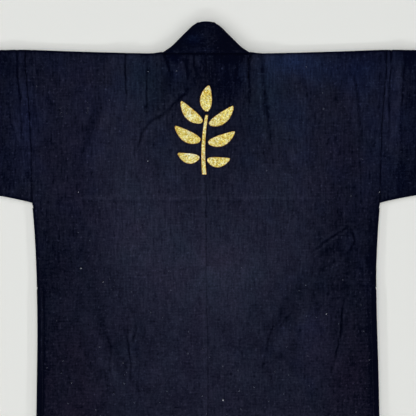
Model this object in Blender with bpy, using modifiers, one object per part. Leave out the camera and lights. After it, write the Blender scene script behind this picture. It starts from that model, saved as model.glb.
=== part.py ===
"""A happi coat of indigo cotton, laid face down so that its back shows.

Each body panel is one length of cloth that runs from the back hem over the shoulder to the front hem,
with no shoulder seam. The two panels meet at the centre back seam. Each sleeve is one length folded at the
shoulder. The collar is one folded band: it crosses the back of the neck, turns over on a slanting fold at
each side, and runs straight down the front edges under the back. A sprig of gold leaves lies on the back.

The frame has +X to the wearer's right, +Y up the back and +Z away from the surface that the coat lies on.
Distances below are in metres, and a "drop" is measured down from the seam that joins collar and back.
"""

import collections
import math

import bmesh
import bpy
from mathutils import Vector

MM = 0.001

# Cloth
CLOTH = 1.5 * MM
BAND_CLOTH = 2.4 * MM
SEAM = 0.35 * MM
ARMHOLE_GAP = 0.5 * MM
BAND_FOLD_RADIUS = 2.4 * MM

# Cut
HEM_DROP = 840 * MM
VENT_DROP = 430 * MM
UNDERARM_DROP = 276 * MM
SIDE_SEAM_DROP = 284 * MM
CUFF_REACH = 637 * MM
NECK_HALF = 71.5 * MM
BAND_WIDTH = 58.5 * MM
BAND_CORNER_DIP = 2 * MM
TUCK = 3 * MM
NECK_Y = (HEM_DROP - BAND_WIDTH) / 2

# Where a band's neck edge lies once it has turned over, and the front edge that is sewn to it
BAND_EDGE = NECK_HALF + BAND_FOLD_RADIUS * math.pi / math.sqrt(2)
FRONT_EDGE = BAND_EDGE + 3 * SEAM

# Heights of the upper layer's middle
LIFT = 1.4 * MM
SIDE_LIFT = 0.4 * MM
ON_BAND = BAND_CLOTH + SEAM + CLOTH / 2
ON_FRONT = CLOTH + SEAM + CLOTH / 2

# How the upper layer comes down to rest past the collar, at the sewn sides, the hem, the cuffs and the
# neck. A reach is where a slope starts, a slope is its length, and a share is how much of the lift is left
BAND_REACH = 80 * MM
BAND_SLOPE = 22 * MM
SIDE_SLOPE = 34 * MM
UNDERARM_REACH = 20 * MM
UNDERARM_SLOPE = 30 * MM
HEM_SLOPE = 40 * MM
HEM_SHARE = 0.2
CUFF_SLOPE = 30 * MM
CUFF_SHARE = 0.3
NECK_REACH = 3 * MM
NECK_SLOPE = 9 * MM
NECK_DEPTH = 22 * MM
NECK_SINK = 1.03

# The back's top edge comes down to the shoulder fold at each end of the neck
CORNER_REACH = 11 * MM
CORNER_SLOPE = 9 * MM

# How far the cloth's middle stays inside the side edge where back and front are sewn together, and how
# soon it reaches the edge below the seam's foot
SIDE_INSET = 1.9 * MM
VENT_SLOPE = 8 * MM

# Half width of the body against the drop: it narrows from the shoulder to the waist
SideEdge = collections.namedtuple("SideEdge", "drop half_width")
SIDE_EDGES = [
    SideEdge(-8 * MM, 332.4 * MM),
    SideEdge(30 * MM, 331.6 * MM),
    SideEdge(80 * MM, 327.5 * MM),
    SideEdge(140 * MM, 323.2 * MM),
    SideEdge(214 * MM, 320.4 * MM),
    SideEdge(276 * MM, 319.5 * MM),
    SideEdge(330 * MM, 315.5 * MM),
    SideEdge(400 * MM, 312.5 * MM),
    SideEdge(490 * MM, 312 * MM),
    SideEdge(600 * MM, 314 * MM),
    SideEdge(840 * MM, 318 * MM),
]

# Rise of the shoulder fold against the distance from the centre
ShoulderRise = collections.namedtuple("ShoulderRise", "reach rise")
SHOULDER_RISES = [
    ShoulderRise(79 * MM, 0 * MM),
    ShoulderRise(94 * MM, 0 * MM),
    ShoulderRise(150 * MM, 1.3 * MM),
    ShoulderRise(250 * MM, 4.2 * MM),
    ShoulderRise(332 * MM, 7 * MM),
    ShoulderRise(380 * MM, 6.6 * MM),
    ShoulderRise(637 * MM, 7 * MM),
]

# The sleeve tapers from the underarm to the cuff along an easing curve
CUFF_DROP = 235.2 * MM
SLEEVE_EASE = 39.6 * MM
SLEEVE_EASE_LENGTH = 154.6 * MM

# Soft ridges in the upper layer: each follows an arc from one point to another
Fold = collections.namedtuple("Fold", "name x0 drop0 x1 drop1 bow width height fade_in fade_out")
FOLDS = [
    Fold("right_shoulder_inner", 92, -10, 108, 185, 2, 9, 2.6, 0.0, 0.6),
    Fold("right_shoulder_outer", 120, -10, 134, 180, -4, 13, 2.4, 0.0, 0.7),
    Fold("right_shoulder_slant", 186, 15, 236, 150, 8, 15, 2.2, 0.3, 0.5),
    Fold("right_armhole", 262, 10, 294, 175, -10, 11, 2.0, 0.3, 0.5),
    Fold("left_shoulder_inner", -134, -10, -130, 110, 3, 11, 2.2, 0.0, 0.7),
    Fold("left_shoulder_outer", -160, -10, -166, 100, -3, 13, 1.8, 0.0, 0.7),
    Fold("left_neck", -92, -10, -74, 60, 2, 8, 1.6, 0.0, 0.6),
    Fold("left_blade_slant", -44, 76, -132, 172, 8, 9, 2.2, 0.25, 0.3),
    Fold("left_blade_fall", -134, 165, -148, 280, 0, 12, 1.5, 0.3, 0.5),
    Fold("left_armhole_slant", -166, 85, -212, 250, -6, 16, 2.2, 0.3, 0.4),
    Fold("left_underarm", -292, 275, -250, 360, 10, 15, 1.8, 0.3, 0.5),
    Fold("right_underarm", 264, 300, 190, 366, 5, 10, 2.6, 0.25, 0.3),
    Fold("right_waist", 272, 335, 204, 414, 8, 13, 2.4, 0.3, 0.3),
    Fold("right_swag_top", 218, 420, 104, 548, 14, 22, 3.0, 0.3, 0.2),
    Fold("right_swag_foot", 112, 530, 30, 655, 12, 22, 2.8, 0.2, 0.3),
    Fold("right_side", 270, 440, 216, 620, 12, 11, 3.0, 0.25, 0.35),
    Fold("left_swag_top", -228, 455, -176, 565, -8, 19, 2.4, 0.3, 0.2),
    Fold("left_swag_foot", -184, 548, -76, 660, -12, 21, 2.8, 0.2, 0.3),
    Fold("left_fall", -148, 480, -138, 615, 3, 10, 2.2, 0.3, 0.4),
    Fold("skirt_right", 62, 640, 36, 825, 8, 24, 2.0, 0.3, 0.3),
    Fold("skirt_left", -78, 650, -58, 830, -8, 24, 1.8, 0.3, 0.3),
    Fold("skirt_right_side", 214, 640, 228, 835, -8, 20, 1.8, 0.3, 0.3),
    Fold("skirt_left_side", -226, 640, -240, 835, 8, 20, 1.8, 0.3, 0.3),
    Fold("right_sleeve_head", 356, -12, 350, 262, 3, 13, 1.8, 0.0, 0.4),
    Fold("right_sleeve_mid", 446, -12, 470, 210, 8, 20, 2.0, 0.0, 0.5),
    Fold("right_sleeve_cuff", 566, 30, 548, 250, -8, 22, 2.2, 0.4, 0.0),
    Fold("left_sleeve_head", -352, -12, -346, 240, -3, 12, 1.4, 0.0, 0.5),
    Fold("left_sleeve_mid", -430, -12, -452, 225, -8, 20, 2.0, 0.0, 0.5),
    Fold("left_sleeve_cuff", -572, 40, -540, 250, 8, 22, 2.2, 0.4, 0.0),
]

# The part of the back that carries the sprig lies flat
SPRIG_HALF = 62 * MM
SPRIG_TOP_DROP = 48 * MM
SPRIG_FOOT_DROP = 232 * MM
SPRIG_BORDER = 16 * MM

# The sprig: a stem and seven leaves, each from its base to its tip
LEAF_CLOTH = 1.0 * MM
Leaf = collections.namedtuple("Leaf", "base_x base_drop tip_x tip_drop bow width")
LEAVES = [
    Leaf(1, 107, 5, 59, 3, 21),
    Leaf(-7, 127, -46, 88, 5, 20),
    Leaf(6, 131, 50, 97, -5, 20),
    Leaf(-10, 161, -57, 134, 5, 21),
    Leaf(4, 165, 53, 144, -5, 20),
    Leaf(-12, 192, -52, 184, 5, 18),
    Leaf(2, 196, 44, 194, -5, 18),
]
STEM = Leaf(-3, 224, 1.5, 112, 4, 7)

# Columns and rows of the cloth grids
NECK_COLUMNS = 7
BODY_COLUMNS = 27
SKIRT_ROWS = 14
SIDE_SEAM_ROWS = 6
ARMHOLE_ROWS = 12
BACK_ROWS = SKIRT_ROWS + SIDE_SEAM_ROWS + ARMHOLE_ROWS
FOLD_ROWS = 4
SIDE_TURNS = 3
SLEEVE_COLUMNS = 16
SLEEVE_ROWS = 10
BAND_ROWS = 3
BAND_RUN_COLUMNS = 10
BAND_TURN_COLUMNS = 8
BAND_NECK_COLUMNS = 6
LEAF_RIBS = 9

Colour = collections.namedtuple("Colour", "red green blue roughness")
INDIGO = Colour(0.009, 0.011, 0.024, 0.9)
COLLAR_INDIGO = Colour(0.006, 0.008, 0.020, 0.85)
GOLD = Colour(0.72, 0.50, 0.16, 0.45)


def smooth(share):
    """0 below 0, 1 above 1, and an even rise between."""
    share = min(max(share, 0.0), 1.0)
    return share * share * (3 - 2 * share)


def mix(low, high, share):
    return low + (high - low) * share


def along_table(table, value):
    """The second column of a table at a value of its first, with smooth slopes through the rows."""
    last = len(table) - 1
    slopes = []
    for i in range(last + 1):
        before, after = table[max(i - 1, 0)], table[min(i + 1, last)]
        slopes.append((after[1] - before[1]) / (after[0] - before[0]))
    if value <= table[0][0]:
        return table[0][1]
    if value >= table[last][0]:
        return table[last][1]
    i = max(k for k in range(last) if table[k][0] <= value)
    step = table[i + 1][0] - table[i][0]
    t = (value - table[i][0]) / step
    rise = table[i + 1][1] - table[i][1]
    bend = (slopes[i] * step - rise) * (1 - t) - (slopes[i + 1] * step - rise) * t
    return table[i][1] + rise * t + bend * t * (1 - t)


def half_width(y):
    """Half the body's width, from the centre back seam to the armhole seam or the side."""
    return along_table(SIDE_EDGES, -y)


def shoulder_y(reach):
    return along_table(SHOULDER_RISES, reach)


def sleeve_foot_y(reach):
    """The sleeve's lower edge."""
    past_underarm = max(reach - half_width(-UNDERARM_DROP), 0)
    return -CUFF_DROP - SLEEVE_EASE * math.exp(-past_underarm / SLEEVE_EASE_LENGTH)


def fold_height(fold, x, y):
    """Height that one fold adds at a point, from the nearest place on its arc."""
    start = Vector((fold.x0, -fold.drop0)) * MM
    run = Vector((fold.x1, -fold.drop1)) * MM - start
    point = Vector((x, y)) - start
    share = point.dot(run) / run.length_squared
    if not 0 <= share <= 1:
        return 0.0
    side = (run.x * point.y - run.y * point.x) / run.length
    away = side - fold.bow * MM * 4 * share * (1 - share)
    fade = 1.0
    if fold.fade_in:
        fade *= smooth(share / fold.fade_in)
    if fold.fade_out:
        fade *= smooth((1 - share) / fold.fade_out)
    return fold.height * MM * fade * math.exp(-((away / (fold.width * MM)) ** 2))


def sprig_zone(x, y):
    """1 on the flat part of the back that carries the sprig, 0 well away from it."""
    across = smooth((SPRIG_HALF + SPRIG_BORDER - abs(x)) / SPRIG_BORDER)
    below = smooth((SPRIG_FOOT_DROP + SPRIG_BORDER + y) / SPRIG_BORDER)
    above = smooth((-SPRIG_TOP_DROP + SPRIG_BORDER - y) / SPRIG_BORDER)
    return across * below * above


def neckline_zone(x, y):
    """1 where the back is tucked between the two layers of the collar, 0 away from the neck."""
    inside = 1 - smooth((abs(x) - NECK_HALF + NECK_REACH) / NECK_SLOPE)
    return inside * (1 - smooth(-y / NECK_DEPTH))


def upper_height(x, y):
    """Height of the middle of the upper layer: the back and the upper side of the sleeves."""
    reach = abs(x)
    resting = mix(ON_BAND, ON_FRONT, smooth((reach - BAND_REACH) / BAND_SLOPE))
    at_side = 0.0
    if reach < half_width(y) + SEAM:
        at_side = 1 - smooth((half_width(y) - reach) / SIDE_SLOPE)
        at_side *= smooth((-y - UNDERARM_DROP + UNDERARM_REACH) / UNDERARM_SLOPE)
    lift = mix(LIFT, SIDE_LIFT, at_side)
    lift *= mix(HEM_SHARE, 1, smooth((y + HEM_DROP) / HEM_SLOPE))
    lift *= mix(CUFF_SHARE, 1, smooth((CUFF_REACH - reach) / CUFF_SLOPE))
    lift *= 1 - NECK_SINK * neckline_zone(x, y)
    folds = sum(fold_height(fold, x, y) for fold in FOLDS)
    calm = (1 - sprig_zone(x, y)) * (1 - neckline_zone(x, y)) * lift / LIFT
    return resting + lift + folds * calm


def fold_radius(x, y):
    """Radius at which the upper layer turns down to the lower one."""
    return (upper_height(x, y) - CLOTH / 2) / 2


def turn(x, y, share, out_x, out_y):
    """A point on the half round that joins the upper layer at x, y to the lower one."""
    radius = fold_radius(x, y)
    angle = math.pi * share
    out = radius * math.sin(angle)
    return Vector((x + out * out_x, y + out * out_y, CLOTH / 2 + radius * (1 + math.cos(angle))))


def fold_y(x):
    """Where the upper layer starts to turn over the shoulder."""
    y = shoulder_y(abs(x))
    return y - fold_radius(x, y) - CLOTH / 2


def neckline_y(reach):
    """Top edge of the back inside the neck: tucked under the band, and lower at the corner."""
    corner = smooth((reach - NECK_HALF + CORNER_REACH) / CORNER_SLOPE)
    return mix(TUCK, fold_y(FRONT_EDGE), corner)


def body_x(column, y):
    """Distance from the centre of a column of the body grid."""
    if column <= NECK_COLUMNS:
        return mix(SEAM / 2, FRONT_EDGE, (column / NECK_COLUMNS) ** 0.8)
    sewn = smooth((-y - UNDERARM_DROP) / (SIDE_SEAM_DROP - UNDERARM_DROP))
    sewn *= smooth((VENT_DROP + VENT_SLOPE + y) / VENT_SLOPE)
    side = half_width(y) - SIDE_INSET * sewn
    return mix(FRONT_EDGE, side, (column - NECK_COLUMNS) / (BODY_COLUMNS - NECK_COLUMNS))


def row_y(row, top_y):
    """Height up the back of a row of the body grid, counted from the hem."""
    if row <= SKIRT_ROWS:
        return mix(-HEM_DROP, -VENT_DROP, row / SKIRT_ROWS)
    if row <= SKIRT_ROWS + SIDE_SEAM_ROWS:
        return mix(-VENT_DROP, -SIDE_SEAM_DROP, (row - SKIRT_ROWS) / SIDE_SEAM_ROWS)
    return mix(-SIDE_SEAM_DROP, top_y, (row - SKIRT_ROWS - SIDE_SEAM_ROWS) / ARMHOLE_ROWS)


def body_point(side, column, row):
    """A grid corner of a body panel: up the back, over the shoulder, down the front."""
    turned = max(column - BODY_COLUMNS, 0)
    column = min(column, BODY_COLUMNS)
    top_reach = body_x(column, 0)
    top_y = neckline_y(top_reach) if column < NECK_COLUMNS else fold_y(side * top_reach)
    if row <= BACK_ROWS:
        y = row_y(row, top_y)
        x = side * body_x(column, y)
        if turned:
            return turn(x, y, turned / SIDE_TURNS, side, 0)
        return Vector((x, y, upper_height(x, y)))
    if row <= BACK_ROWS + FOLD_ROWS:
        return turn(side * body_x(column, top_y), top_y, (row - BACK_ROWS) / FOLD_ROWS, 0, 1)
    y = row_y(2 * BACK_ROWS + FOLD_ROWS - row, top_y)
    return Vector((side * body_x(column, y), y, CLOTH / 2))


def sleeve_point(side, column, row):
    """A grid corner of a sleeve: up the outer side, over the top, down the inner side, round the foot."""

    def x_at(y):
        armhole = half_width(max(y, -UNDERARM_DROP)) + ARMHOLE_GAP
        return side * mix(armhole, CUFF_REACH, column / SLEEVE_COLUMNS)

    top_y = fold_y(x_at(0))
    foot_x = x_at(-UNDERARM_DROP)
    foot_edge = sleeve_foot_y(abs(foot_x))
    foot_y = foot_edge + fold_radius(foot_x, foot_edge) + CLOTH / 2
    if row <= SLEEVE_ROWS:
        y = mix(foot_y, top_y, row / SLEEVE_ROWS)
        return Vector((x_at(y), y, upper_height(x_at(y), y)))
    if row <= SLEEVE_ROWS + FOLD_ROWS:
        return turn(x_at(top_y), top_y, (row - SLEEVE_ROWS) / FOLD_ROWS, 0, 1)
    if row <= 2 * SLEEVE_ROWS + FOLD_ROWS:
        y = mix(top_y, foot_y, (row - SLEEVE_ROWS - FOLD_ROWS) / SLEEVE_ROWS)
        return Vector((x_at(y), y, CLOTH / 2))
    back = (row - 2 * SLEEVE_ROWS - FOLD_ROWS) / FOLD_ROWS
    return turn(foot_x, foot_y, 1 - back, 0, -1)


def turned_over(side, along, across):
    """Where a point of the flat band comes to lie. The band turns over on a line at 45 degrees."""
    radius = BAND_FOLD_RADIUS
    past = (along - NECK_HALF + across) / math.sqrt(2)
    up_line = (across - along + NECK_HALF) / math.sqrt(2)
    low, high = BAND_CLOTH / 2, BAND_CLOTH / 2 + 2 * radius
    if past <= 0:
        return Vector((side * along, across, high))
    if past < math.pi * radius:
        outward = radius * math.sin(past / radius)
        z = low + radius * (1 + math.cos(past / radius))
    else:
        outward = math.pi * radius - past
        z = low
    x = NECK_HALF + (outward - up_line) / math.sqrt(2)
    y = (outward + up_line) / math.sqrt(2)
    return Vector((side * x, y, z))


def band_point(column, row):
    """A corner of the collar band's grid. Columns run from the left hem over the neck to the right hem."""
    turn_end = BAND_NECK_COLUMNS / 2 + BAND_TURN_COLUMNS
    middle = turn_end + BAND_RUN_COLUMNS
    side = 1 if column >= middle else -1
    step = abs(column - middle)
    arc = math.pi * BAND_FOLD_RADIUS
    past = arc * min(max((step - BAND_NECK_COLUMNS / 2) / BAND_TURN_COLUMNS, 0), 1)
    corner = math.exp(-(((past - arc / 2) / arc) ** 2))
    if step < BAND_NECK_COLUMNS / 2:
        corner *= step / (BAND_NECK_COLUMNS / 2)
    elif step > turn_end:
        corner *= max(1 - (step - turn_end) / 2, 0)
    across = (BAND_WIDTH - BAND_CORNER_DIP * corner) * row / BAND_ROWS
    slant = NECK_HALF - across + past * math.sqrt(2)
    if step <= BAND_NECK_COLUMNS / 2:
        along = slant * step / (BAND_NECK_COLUMNS / 2)
    elif step <= turn_end:
        along = slant
    else:
        hem = NECK_HALF + HEM_DROP + arc / math.sqrt(2)
        along = mix(slant, hem, ((step - turn_end) / BAND_RUN_COLUMNS) ** 1.5)
    return turned_over(side, along, across)


def leaf_point(leaf, rib, across, half):
    """A point on a leaf, above the back: rib runs from base to tip, across from -1 to 1."""
    base = Vector((leaf.base_x, -leaf.base_drop)) * MM
    run = Vector((leaf.tip_x, -leaf.tip_drop)) * MM - base
    sideways = Vector((-run.y, run.x)).normalized()
    middle = base + run * rib + sideways * leaf.bow * MM * 4 * rib * (1 - rib)
    flat = middle + sideways * half * across
    top = upper_height(flat.x, flat.y) + CLOTH / 2 + SEAM
    return Vector((flat.x, flat.y, top + LEAF_CLOTH / 2))


def leaf_half(leaf, rib):
    """Half width of a leaf at a rib: round at the base, drawn out at the tip."""
    return leaf.width * MM / 2 * max(math.sin(math.pi * rib**0.8) ** 0.7, 0.12)


def stem_half(leaf, rib):
    """Half width of the stem, which thins towards its top and has blunt ends."""
    return leaf.width * MM / 2 * mix(1, 0.6, rib)


def material(name, colour):
    made = bpy.data.materials.new(name)
    made.use_nodes = True
    shader = made.node_tree.nodes["Principled BSDF"]
    shader.inputs["Base Color"].default_value = (colour.red, colour.green, colour.blue, 1)
    shader.inputs["Roughness"].default_value = colour.roughness
    shader.inputs["Metallic"].default_value = 0.0
    return made


def grid(columns, rows):
    """The cells of a grid, each as its four corners."""
    return [
        [(column, row), (column + 1, row), (column + 1, row + 1), (column, row + 1)]
        for column in range(columns)
        for row in range(rows)
    ]


def wall(name, cells, place, thickness, finish):
    """A sheet of cells whose corners are put by place(column, row), thickened to a wall of cloth."""
    sheet = bmesh.new()
    corners = {spot: sheet.verts.new(place(*spot)) for spot in sorted(set(sum(cells, [])))}
    for cell in cells:
        sheet.faces.new([corners[spot] for spot in cell])
    mesh = bpy.data.meshes.new(name)
    sheet.to_mesh(mesh)
    sheet.free()
    mesh.materials.append(finish)
    mesh.shade_smooth()
    piece = bpy.data.objects.new(name, mesh)
    piece.location = (0, NECK_Y, 0)
    solid = piece.modifiers.new("Cloth thickness", "SOLIDIFY")
    solid.thickness = thickness
    solid.offset = 0
    solid.use_even_offset = True
    return piece


def body_panel(name, side, finish):
    """A panel with its side seam closed between the armhole and the vent."""
    last_row = 2 * BACK_ROWS + FOLD_ROWS
    panel = [
        cell
        for cell in grid(BODY_COLUMNS, last_row)
        if cell[0][1] < BACK_ROWS or cell[0][0] >= NECK_COLUMNS
    ]

    def on_front(spot):
        """The last corner of each turn at the side is the front's own corner."""
        column, row = spot
        return (BODY_COLUMNS, last_row - row) if column == BODY_COLUMNS + SIDE_TURNS else spot

    for step in range(SIDE_TURNS):
        for row in range(SKIRT_ROWS, SKIRT_ROWS + SIDE_SEAM_ROWS):
            low = BODY_COLUMNS + step
            cell = [(low, row), (low + 1, row), (low + 1, row + 1), (low, row + 1)]
            panel.append([on_front(spot) for spot in cell])

    def place(column, row):
        return body_point(side, column, row)

    return wall(name, panel, place, CLOTH, finish)


def sleeve(name, side, finish):
    rows = 2 * (SLEEVE_ROWS + FOLD_ROWS)
    tube = [[(column, row % rows) for column, row in cell] for cell in grid(SLEEVE_COLUMNS, rows)]

    def place(column, row):
        return sleeve_point(side, column, row)

    return wall(name, tube, place, CLOTH, finish)


def collar_band(name, finish):
    columns = BAND_NECK_COLUMNS + 2 * (BAND_TURN_COLUMNS + BAND_RUN_COLUMNS)
    return wall(name, grid(columns, BAND_ROWS), band_point, BAND_CLOTH, finish)


def sprig_piece(name, leaf, half_at, finish):
    def place(rib, across):
        share = mix(0.015, 0.985, rib / LEAF_RIBS)
        return leaf_point(leaf, share, across - 1, half_at(leaf, share))

    return wall(name, grid(LEAF_RIBS, 2), place, LEAF_CLOTH, finish)


def main():
    for obj in list(bpy.data.objects):
        bpy.data.objects.remove(obj)
    coat = bpy.data.collections.new("Happi coat")
    bpy.context.scene.collection.children.link(coat)
    indigo = material("indigo_cotton", INDIGO)
    collar_indigo = material("collar_cotton", COLLAR_INDIGO)
    gold = material("gold_lame", GOLD)
    pieces = [
        body_panel("body_panel_left", -1, indigo),
        body_panel("body_panel_right", 1, indigo),
        sleeve("sleeve_left", -1, indigo),
        sleeve("sleeve_right", 1, indigo),
        collar_band("collar_band", collar_indigo),
        sprig_piece("sprig_stem", STEM, stem_half, gold),
    ]
    for number, leaf in enumerate(LEAVES, 1):
        pieces.append(sprig_piece(f"sprig_leaf_{number}", leaf, leaf_half, gold))
    for piece in pieces:
        coat.objects.link(piece)


main()
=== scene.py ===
"""The looks of a happi coat that lies face down: indigo cotton, its seams and creases, gold leaves, light.

Distances are in metres, except in the tables that say millimetres. Names that part.py has too mean the same
here. A "drop" is measured down from the seam that joins collar and back, and +Y runs up the back, so a drop
is a negative y.
"""

import collections
import math

import bmesh
import bpy
import numpy as np
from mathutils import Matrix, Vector


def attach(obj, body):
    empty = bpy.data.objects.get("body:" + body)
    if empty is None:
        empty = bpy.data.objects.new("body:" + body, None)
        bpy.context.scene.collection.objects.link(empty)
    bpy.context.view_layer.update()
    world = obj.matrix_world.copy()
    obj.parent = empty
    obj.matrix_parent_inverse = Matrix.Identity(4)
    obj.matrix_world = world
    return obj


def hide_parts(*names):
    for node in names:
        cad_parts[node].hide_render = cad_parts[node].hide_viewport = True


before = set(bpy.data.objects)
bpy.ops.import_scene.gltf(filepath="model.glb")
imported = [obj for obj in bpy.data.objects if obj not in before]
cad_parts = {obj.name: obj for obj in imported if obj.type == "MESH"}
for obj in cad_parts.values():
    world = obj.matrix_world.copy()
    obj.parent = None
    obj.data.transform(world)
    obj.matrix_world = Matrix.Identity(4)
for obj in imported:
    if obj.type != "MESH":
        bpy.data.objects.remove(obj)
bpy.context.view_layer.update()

MM = 0.001

# Cloth: the walls are thinner than the solids', and their middles lie at the same heights
CLOTH = 1.5 * MM
SEAM = 0.35 * MM
THIN = 1.0 * MM
BAND_CLOTH = 2.4 * MM
BAND_THIN = 2.0 * MM
BAND_FOLD_RADIUS = 2.4 * MM
JOIN_GAP = 0.06 * MM

# Cut, and heights of the upper layer's middle, as in part.py
HEM_DROP = 840 * MM
VENT_DROP = 430 * MM
UNDERARM_DROP = 276 * MM
SIDE_SEAM_DROP = 284 * MM
CUFF_REACH = 637 * MM
NECK_HALF = 71.5 * MM
BAND_WIDTH = 58.5 * MM
TUCK = 3 * MM
NECK_Y = (HEM_DROP - BAND_WIDTH) / 2
BAND_EDGE = NECK_HALF + BAND_FOLD_RADIUS * math.pi / math.sqrt(2)
FRONT_EDGE = BAND_EDGE + 3 * SEAM
LIFT = 1.4 * MM
SIDE_LIFT = 0.4 * MM
ON_BAND = BAND_CLOTH + SEAM + CLOTH / 2
ON_FRONT = CLOTH + SEAM + CLOTH / 2

# How the upper layer comes down to rest past the collar, at the sewn sides, the hem, the cuffs and the
# neck, as in part.py. A reach is where a slope starts, a slope is its length, and a share is how much of
# the lift is left
BAND_REACH = 80 * MM
BAND_SLOPE = 22 * MM
SIDE_SLOPE = 34 * MM
UNDERARM_REACH = 20 * MM
UNDERARM_SLOPE = 30 * MM
HEM_SLOPE = 40 * MM
HEM_SHARE = 0.2
CUFF_SLOPE = 30 * MM
CUFF_SHARE = 0.3
NECK_REACH = 3 * MM
NECK_SLOPE = 9 * MM
NECK_DEPTH = 22 * MM
NECK_SINK = 1.03

# The upper layer's shell stays at least this far above the lower layer's solid
LEAST_GAP = 0.1 * MM

# Seams and creases show from just below the neck seam
CALM_START = 1 * MM
CALM_SLOPE = 7 * MM

# The back's top edge by the neck's corners: how far inside them it starts to come down to the shoulder fold
# and over what length, and how far outside them it starts to rise again and by how much
CORNER_REACH = 7 * MM
CORNER_SLOPE = 5 * MM
CORNER_START = 0.8 * MM
CORNER_RISE = 2.4 * MM

# How far the cloth's middle stays inside the side edge where back and front are sewn together, and how
# soon it comes out to that edge below the seam
SIDE_INSET = 1.6 * MM
VENT_SLOPE = 5 * MM

# Half width of the body against the drop, in millimetres, as in part.py
SIDE_EDGES = [
    (-8, 332.4),
    (30, 331.6),
    (80, 327.5),
    (140, 323.2),
    (214, 320.4),
    (276, 319.5),
    (330, 315.5),
    (400, 312.5),
    (490, 312),
    (600, 314),
    (840, 318),
]
ARMHOLE_HALF = SIDE_EDGES[1][1] * MM

# Rise of the shoulder fold against the distance from the centre, in millimetres
SHOULDER_RISES = [(79, 2.6), (92, 0.9), (110, 0.5), (150, 1.3), (250, 4.2), (332, 7), (380, 6.6), (637, 7)]

# The sleeve's lower edge: its drop far out, how much lower it lies at the underarm, and how soon that eases
CUFF_DROP = 235.2 * MM
SLEEVE_EASE = 39.6 * MM
SLEEVE_EASE_LENGTH = 154.6 * MM

# How far the coat as laid leans to the right, against the drop, in millimetres
LEAN = [(-60, -1.8), (380, -1.3), (560, 1.2), (840, 1.8)]

# The neck's corners flare out a little, where the collar turns over
FLARE = 5.5 * MM
FLARE_REACH = 78 * MM
FLARE_SPREAD = 24 * MM
FLARE_HEIGHT = 8 * MM

# Lumps in the cloth: how much they add or take, their size across and along, and a seed
Lumps = collections.namedtuple("Lumps", "amount size_x size_y seed")


def table_of(kind, lines):
    """The lines of a table, with names for their columns."""
    return [kind(*line) for line in lines]


# The main folds of the upper layer: soft ridges that follow an arc, in millimetres, as in part.py
Fold = collections.namedtuple("Fold", "name x0 drop0 x1 drop1 bow width height fade_in fade_out")
FOLDS = table_of(Fold, [
    ("right_shoulder_inner", 92, -10, 108, 185, 2, 9, 2.6, 0.0, 0.6),
    ("right_shoulder_outer", 120, -10, 134, 180, -4, 13, 2.4, 0.0, 0.7),
    ("right_shoulder_slant", 186, 15, 236, 150, 8, 15, 2.2, 0.3, 0.5),
    ("right_armhole", 262, 10, 294, 175, -10, 11, 2.0, 0.3, 0.5),
    ("left_shoulder_inner", -134, -10, -130, 110, 3, 11, 2.2, 0.0, 0.7),
    ("left_shoulder_outer", -160, -10, -166, 100, -3, 13, 1.8, 0.0, 0.7),
    ("left_neck", -92, -10, -74, 60, 2, 8, 1.6, 0.0, 0.6),
    ("left_blade_slant", -44, 76, -132, 172, 8, 9, 2.2, 0.25, 0.3),
    ("left_blade_fall", -134, 165, -148, 280, 0, 12, 1.5, 0.3, 0.5),
    ("left_armhole_slant", -166, 85, -212, 250, -6, 16, 2.2, 0.3, 0.4),
    ("left_underarm", -292, 275, -250, 360, 10, 15, 1.8, 0.3, 0.5),
    ("right_underarm", 264, 300, 190, 366, 5, 10, 2.6, 0.25, 0.3),
    ("right_waist", 272, 335, 204, 414, 8, 13, 2.4, 0.3, 0.3),
    ("right_swag_top", 218, 420, 104, 548, 14, 22, 3.0, 0.3, 0.2),
    ("right_swag_foot", 112, 530, 30, 655, 12, 22, 2.8, 0.2, 0.3),
    ("right_side", 270, 440, 216, 620, 12, 11, 3.0, 0.25, 0.35),
    ("left_swag_top", -228, 455, -176, 565, -8, 19, 2.4, 0.3, 0.2),
    ("left_swag_foot", -184, 548, -76, 660, -12, 21, 2.8, 0.2, 0.3),
    ("left_fall", -148, 480, -138, 615, 3, 10, 2.2, 0.3, 0.4),
    ("skirt_right", 62, 640, 36, 825, 8, 24, 2.0, 0.3, 0.3),
    ("skirt_left", -78, 650, -58, 830, -8, 24, 1.8, 0.3, 0.3),
    ("skirt_right_side", 214, 640, 228, 835, -8, 20, 1.8, 0.3, 0.3),
    ("skirt_left_side", -226, 640, -240, 835, 8, 20, 1.8, 0.3, 0.3),
    ("right_sleeve_head", 356, -12, 350, 262, 3, 13, 1.8, 0.0, 0.4),
    ("right_sleeve_mid", 446, -12, 470, 210, 8, 20, 2.0, 0.0, 0.5),
    ("right_sleeve_cuff", 566, 30, 548, 250, -8, 22, 2.2, 0.4, 0.0),
    ("left_sleeve_head", -352, -12, -346, 240, -3, 12, 1.4, 0.0, 0.5),
    ("left_sleeve_mid", -430, -12, -452, 225, -8, 20, 2.0, 0.0, 0.5),
    ("left_sleeve_cuff", -572, 40, -540, 250, 8, 22, 2.2, 0.4, 0.0),
])

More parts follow.
